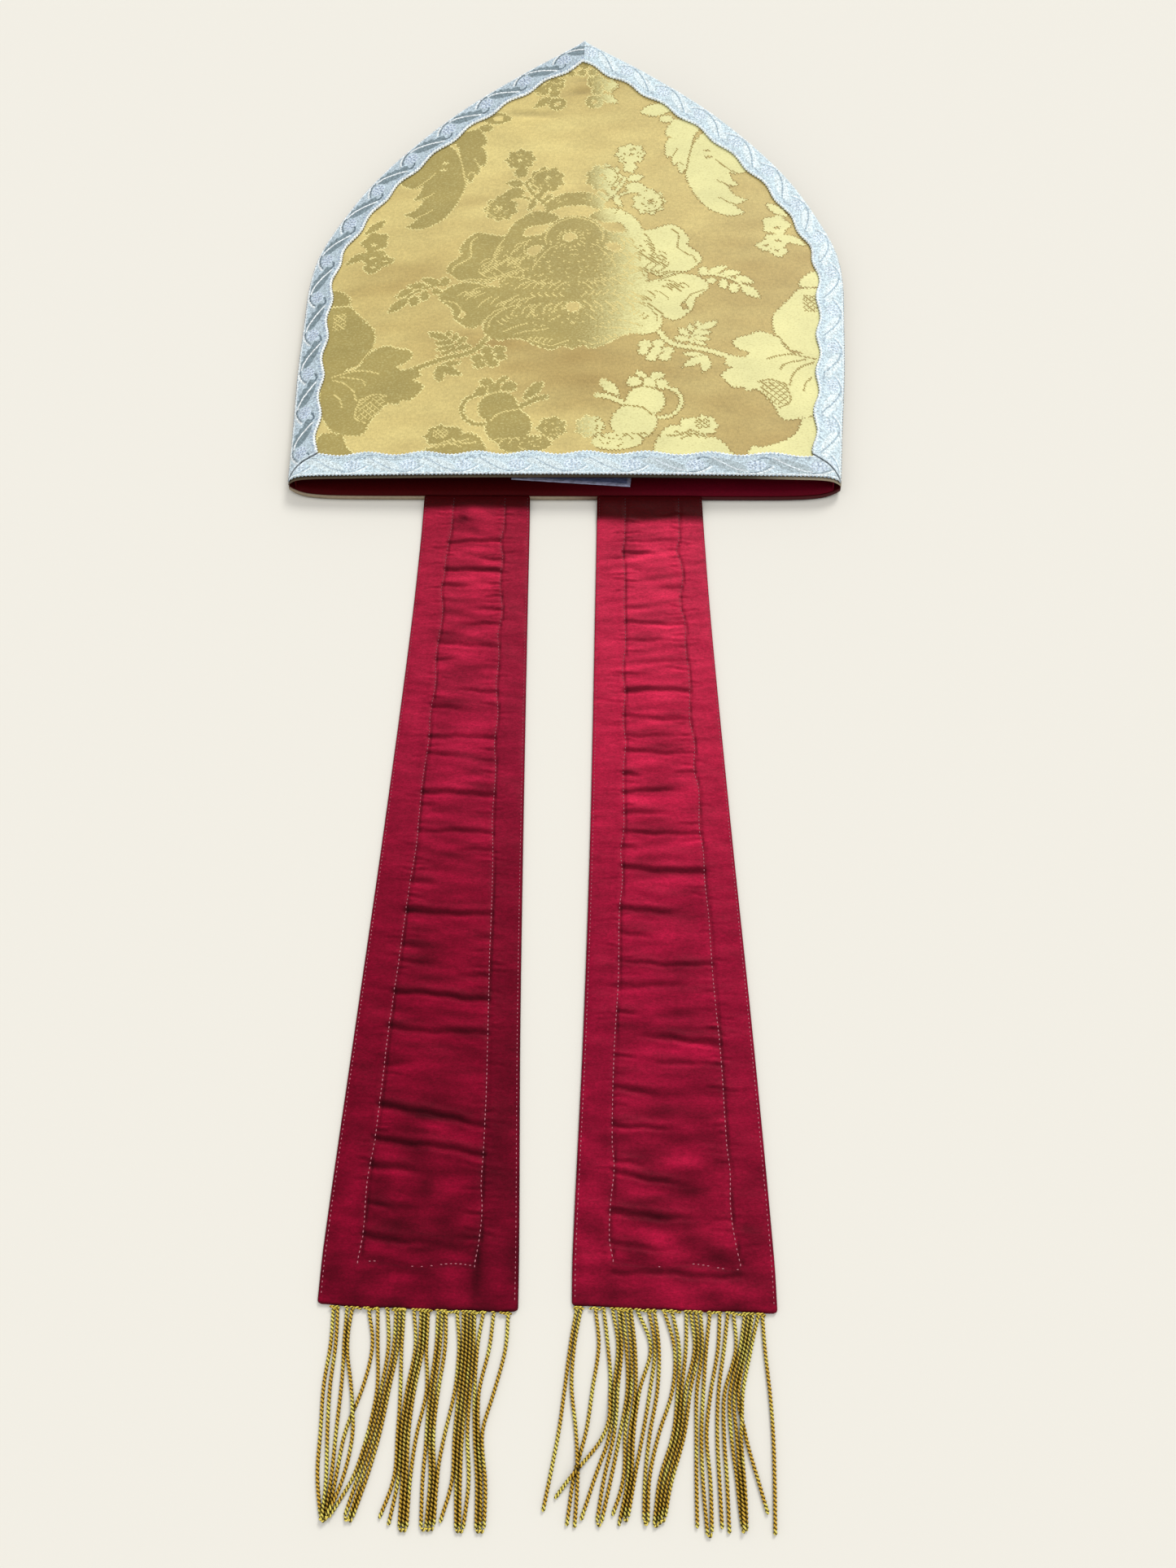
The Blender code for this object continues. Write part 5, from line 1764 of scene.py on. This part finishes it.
def twisted_cord(line, turn, radius, shine):
    """Points, faces and colours of a two-ply cord: a two-lobed section that turns along a line.
    shine gives how strong the painted highlight on the crests is at mm along the cord."""
    steps = np.linalg.norm(np.diff(line, axis=0), axis=1)
    at = np.concatenate([[0], np.cumsum(steps)])
    places = np.arange(0, at[-1], CORD_STEP)
    path = np.stack([np.interp(places, at, line[:, k]) for k in range(3)], 1)
    along = np.gradient(path, axis=0)
    along /= np.linalg.norm(along, axis=1, keepdims=True)
    side = np.cross(along, (0, 0, 1))
    side /= np.linalg.norm(side, axis=1, keepdims=True)
    up = np.cross(side, along)
    angle = np.linspace(0, 2 * np.pi, CORD_SIDES, endpoint=False)
    turned = angle[None, :] - (turn + 2 * np.pi * places / CORD_LAY)[:, None]
    reach = PLY_OFFSET * np.abs(np.cos(turned))
    reach += np.sqrt(PLY_SQUARE - PLY_OFFSET**2 * np.sin(turned) ** 2)
    taper = np.clip(np.minimum(places, places[-1] - places) / 0.7 + 0.45, 0, 1)
    reach *= radius * taper[:, None]
    circle = np.cos(angle)[None, :, None] * side[:, None] + np.sin(angle)[None, :, None] * up[:, None]
    ring = path[:, None] + reach[:, :, None] * circle
    index = np.arange(len(places) * CORD_SIDES).reshape(-1, CORD_SIDES)
    after = np.roll(index, -1, axis=1)
    faces = np.stack([index[:-1], after[:-1], after[1:], index[1:]], 2).reshape(-1, 4).tolist()
    faces += [index[0][::-1].tolist(), index[-1].tolist()]
    # painted shade in the grooves between the plies and painted highlight on the crests
    crest = smoothstep(0.4, 0.85, np.abs(np.cos(turned)))[..., None]
    top = CORD_GOLD + (CORD_HIGHLIGHT - CORD_GOLD) * np.clip(shine(places), 0, 1)[:, None, None]
    # painted shade on the cord's underside
    facing_up = (0.16 + 0.84 * smoothstep(-0.1, 0.85, np.sin(angle)))[None, :, None]
    colours = (CORD_GROOVE_SHADE + (top - CORD_GROOVE_SHADE) * crest) * facing_up
    return ring.reshape(-1, 3), faces, colours.reshape(-1, 3)


def cord_shine(length, rng):
    """Painted highlight at the heading and the tip, with a few glints between."""
    glints = [(rng.uniform(6, length - 6), rng.uniform(1.5, 5), rng.uniform(0.3, 1.0)) for _ in range(3)]
    reach, strength = rng.uniform(5, 13), rng.uniform(0.3, 0.9)

    def shine(places):
        total = 0.9 * smoothstep(length - 2.2, length - 1.4, places)
        total += strength * bump(places, reach)
        for middle, half, share in glints:
            total += share * bump(places - middle, half)
        return total

    return shine


def bright_run(shine, middle, half):
    """The same shine with a long bright run on the cord."""
    return lambda places: shine(places) + 1.2 * np.exp(-(((places - middle) / half) ** 4))


def contact_shade(points, x, y, z):
    """Painted contact shadow: darker where a cord's points come near another cord's centre line."""
    near_x, near_z = (np.interp(-points[:, 1], -y, values) for values in (x, z))
    distance = np.hypot(points[:, 0] - near_x, points[:, 2] - near_z) / CORD_RADIUS
    return 0.08 + 0.92 * smoothstep(1.0, 1.85, distance)


def even_shine(share):
    """A painted highlight on the crests that is as strong all along the cord."""
    return lambda places: np.full_like(places, share)


def make_fringe(side):
    name, cords = side + "_fringe", CORDS[side]
    end = LAPPETS[side][0][-1][0] + GAP
    x, y, z = cord_lines(cords, end + 0.4)
    parts = []
    for k, cord in enumerate(cords):
        line = np.stack([x[k], y[k], z[k]], 1)
        shine = cord_shine(cord[6], RNG)
        if (name, k) in BRIGHT_RUNS:
            shine = bright_run(shine, *BRIGHT_RUNS[name, k])
        points, faces, colours = twisted_cord(line, RNG.uniform(0, 3), CORD_RADIUS, shine)
        for j in {k - 2, k - 1, k + 1, k + 2} & set(range(len(cords))):
            colours = colours * contact_shade(points, x[j], y[j], z[j])[:, None]
        parts.append((points, faces, colours))
        parts.append(root_knot(line[0], RNG))
    tips = np.stack([x[:, -1], y[:, -1], z[:, -1]], 1)
    for tip, other in zip(tips, tips[1:]):
        if np.linalg.norm(other - tip) < TIP_REACH:
            parts.append(tip_loop(tip, other))
    parts += heading_threads(cords[0][0], cords[-1][0], end)
    starts = np.concatenate([[0], np.cumsum([len(part[0]) for part in parts])])
    faces = [[start + k for k in face] for start, part in zip(starts, parts) for face in part[1]]
    item = add_mesh(name + "_cords", np.concatenate([part[0] for part in parts]), faces, "fringe")
    paint(item, np.concatenate([part[2] for part in parts]))
    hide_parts(name)


def root_knot(place, rng):
    """The turn of thread that holds a cord to the heading, painted with highlight on its crests."""
    lean = rng.uniform(-0.6, 0.6)
    line = [(-1.1, 0.25 + lean * 0.3, 0.3), (0, 0.1, 0.75), (1.1, -0.2 - lean * 0.3, 0.35)]
    return twisted_cord(np.array(line) + place, 0.0, 0.5, even_shine(rng.uniform(0.5, 1.0)))


def tip_loop(tip, other):
    """The turn where one cord doubles back as its neighbour, painted with highlight on its crests."""
    middle = (tip + other) / 2 + (0, -0.7, 0.25)
    line = smooth_line([tip, middle, other], 8)
    return twisted_cord(line, 0.6, 0.7, even_shine(0.75))


def heading_threads(left, right, end):
    """Threads of uneven length, tucked under the lappet's end, that tie the cords, painted with highlight of
    uneven strength on their crests.
    """
    parts, x = [], left - 1.5
    while x < right:
        length = RNG.uniform(3, 8)
        stop = min(x + length, right + 1.5)
        xs = np.linspace(x, stop, 12)
        rise = 0.3 * np.sin(np.linspace(0, math.pi * 2, 12) + RNG.uniform(0, 6))
        line = np.stack([xs, -end - 0.55 + 0.8 * rise, 1.2 + rise], 1)
        shine = even_shine(RNG.uniform(0.1, 1.3))
        parts.append(twisted_cord(line, RNG.uniform(0, 3), 0.55, shine))
        x = stop + RNG.choice([0.3, 1.5, 3.0, 5.0])
    return parts


# Stage

FLOOR = 6.0  # m from the middle to each side
PAPER = srgb(240, 237, 228)


def make_stage():
    points = [(-FLOOR, -FLOOR, 0), (FLOOR, -FLOOR, 0), (FLOOR, FLOOR, 0), (-FLOOR, FLOOR, 0)]
    data = bpy.data.meshes.new("floor")
    data.from_pydata(points, [], [(0, 1, 2, 3)])
    floor = bpy.data.objects.new("floor", data)
    bpy.context.scene.collection.objects.link(floor)
    material, _, shader = new_material("floor_paper", 0.9, 0.1)
    shader.inputs["Base Color"].default_value = (*PAPER, 1)
    data.materials.append(material)


LAMPS = (
    # name, place that it shines from, angle of softness, strength, colour
    ("key", (0.5, 1.3, 1.25), 20, 1.3, (1.0, 0.99, 0.97)),
    ("fill", (0.5, -1.0, 1.6), 60, 0.5, (0.98, 0.99, 1.0)),
)
SKY = 0.62


def make_lights():
    world = bpy.data.worlds.new("studio")
    bpy.context.scene.world = world
    world.use_nodes = True
    background = world.node_tree.nodes["Background"]
    background.inputs["Color"].default_value = (1.0, 0.995, 0.985, 1)
    background.inputs["Strength"].default_value = SKY
    for name, place, softness, strength, colour in LAMPS:
        data = bpy.data.lights.new(name, "SUN")
        data.angle, data.energy, data.color = math.radians(softness), strength, colour
        lamp = bpy.data.objects.new(name, data)
        lamp.location = place
        lamp.rotation_euler = Vector(-np.array(place)).to_track_quat("-Z", "Y").to_euler()
        bpy.context.scene.collection.objects.link(lamp)


CAMERA_PLACE = (52.6, -455.9, 531.4)  # mm, from the middle of the rim
CAMERA_TURN = (27.635, 2.295, 2.148)  # degrees
LENS = 28.79


def make_camera():
    data = bpy.data.cameras.new("camera")
    data.lens = LENS
    data.sensor_width = 36
    data.sensor_fit = "AUTO"
    data.clip_start = 0.01
    camera = bpy.data.objects.new("camera", data)
    x, y, z = CAMERA_PLACE
    camera.location = (x * MM, (y + RIM_Y) * MM, z * MM)
    camera.rotation_euler = [math.radians(a) for a in CAMERA_TURN]
    bpy.context.scene.collection.objects.link(camera)
    bpy.context.scene.camera = camera
    bpy.context.scene.view_settings.view_transform = "Standard"


EVEN = (1, 1, 1)
PATCHES = (60, (0.6, 1, 1), 0.06)
CLOTHS = {
    # material's name, roughness, specular level, grain (scale, stretch, spread, depth in m), mottles
    "damask": (
        "damask_satin", 0.5, 0.2, (2200, (1, 0.35, 1), 0.1, 0.00006),
        ((330, (0.25, 1, 1), 0.02), PATCHES, (650, (0.8, 1, 1), 0.09)),
    ),
    "figure": ("damask_figure", 0.5, 0.2, (2200, (0.35, 1, 1), 0.06, 0.00006), (PATCHES,)),
    "thread": ("damask_thread", 0.5, 0.2, (2200, (0.35, 1, 1), 0.1, 0.00006), (PATCHES,)),
    "edge": ("damask_edge", 0.5, 0.2, (2200, (0.35, 1, 1), 0.1, 0.00006), (PATCHES,)),
    "galloon": ("galloon_silver", 0.5, 0.2, (1500, EVEN, 0.26, 0.00015), ((750, EVEN, 0.27),)),
    "lining": ("lining_red", 0.7, 0.07, (900, EVEN, 0.15, 0.0001)),
    "lappet": (
        "lappet_satin", 0.5, 0.055, (1500, (0.7, 1.2, 1), 0.2, 0.0001),
        ((300, (0.4, 1.3, 1), 0.07), (800, (0.6, 1.2, 1), 0.15)),
    ),
    "fringe": ("fringe_gold", 0.45, 0.07, (2600, EVEN, 0.14, 0.0001)),
    "stitch": ("stitch_thread", 0.6, 0.5, (3000, EVEN, 0.1, 0.0001)),
    "label": ("label_weave", 0.6, 0.5, (700, (0.5, 1, 1), 0.45, 0.0001)),
}
MATERIALS = {}  # filled by main() before any piece is made


def main():
    make_camera()
    make_stage()
    make_lights()
    for key, looks in CLOTHS.items():
        MATERIALS[key] = cloth_material(*looks, turned=DAMASK_SHEEN.get(key))
    make_front_panel()
    make_damask_figures()
    make_back_panel()
    make_bands()
    make_lining()
    make_gusset()
    make_label()
    for make_piece in (make_lappet, make_fringe):
        for side in ("left", "right"):
            make_piece(side)


main()
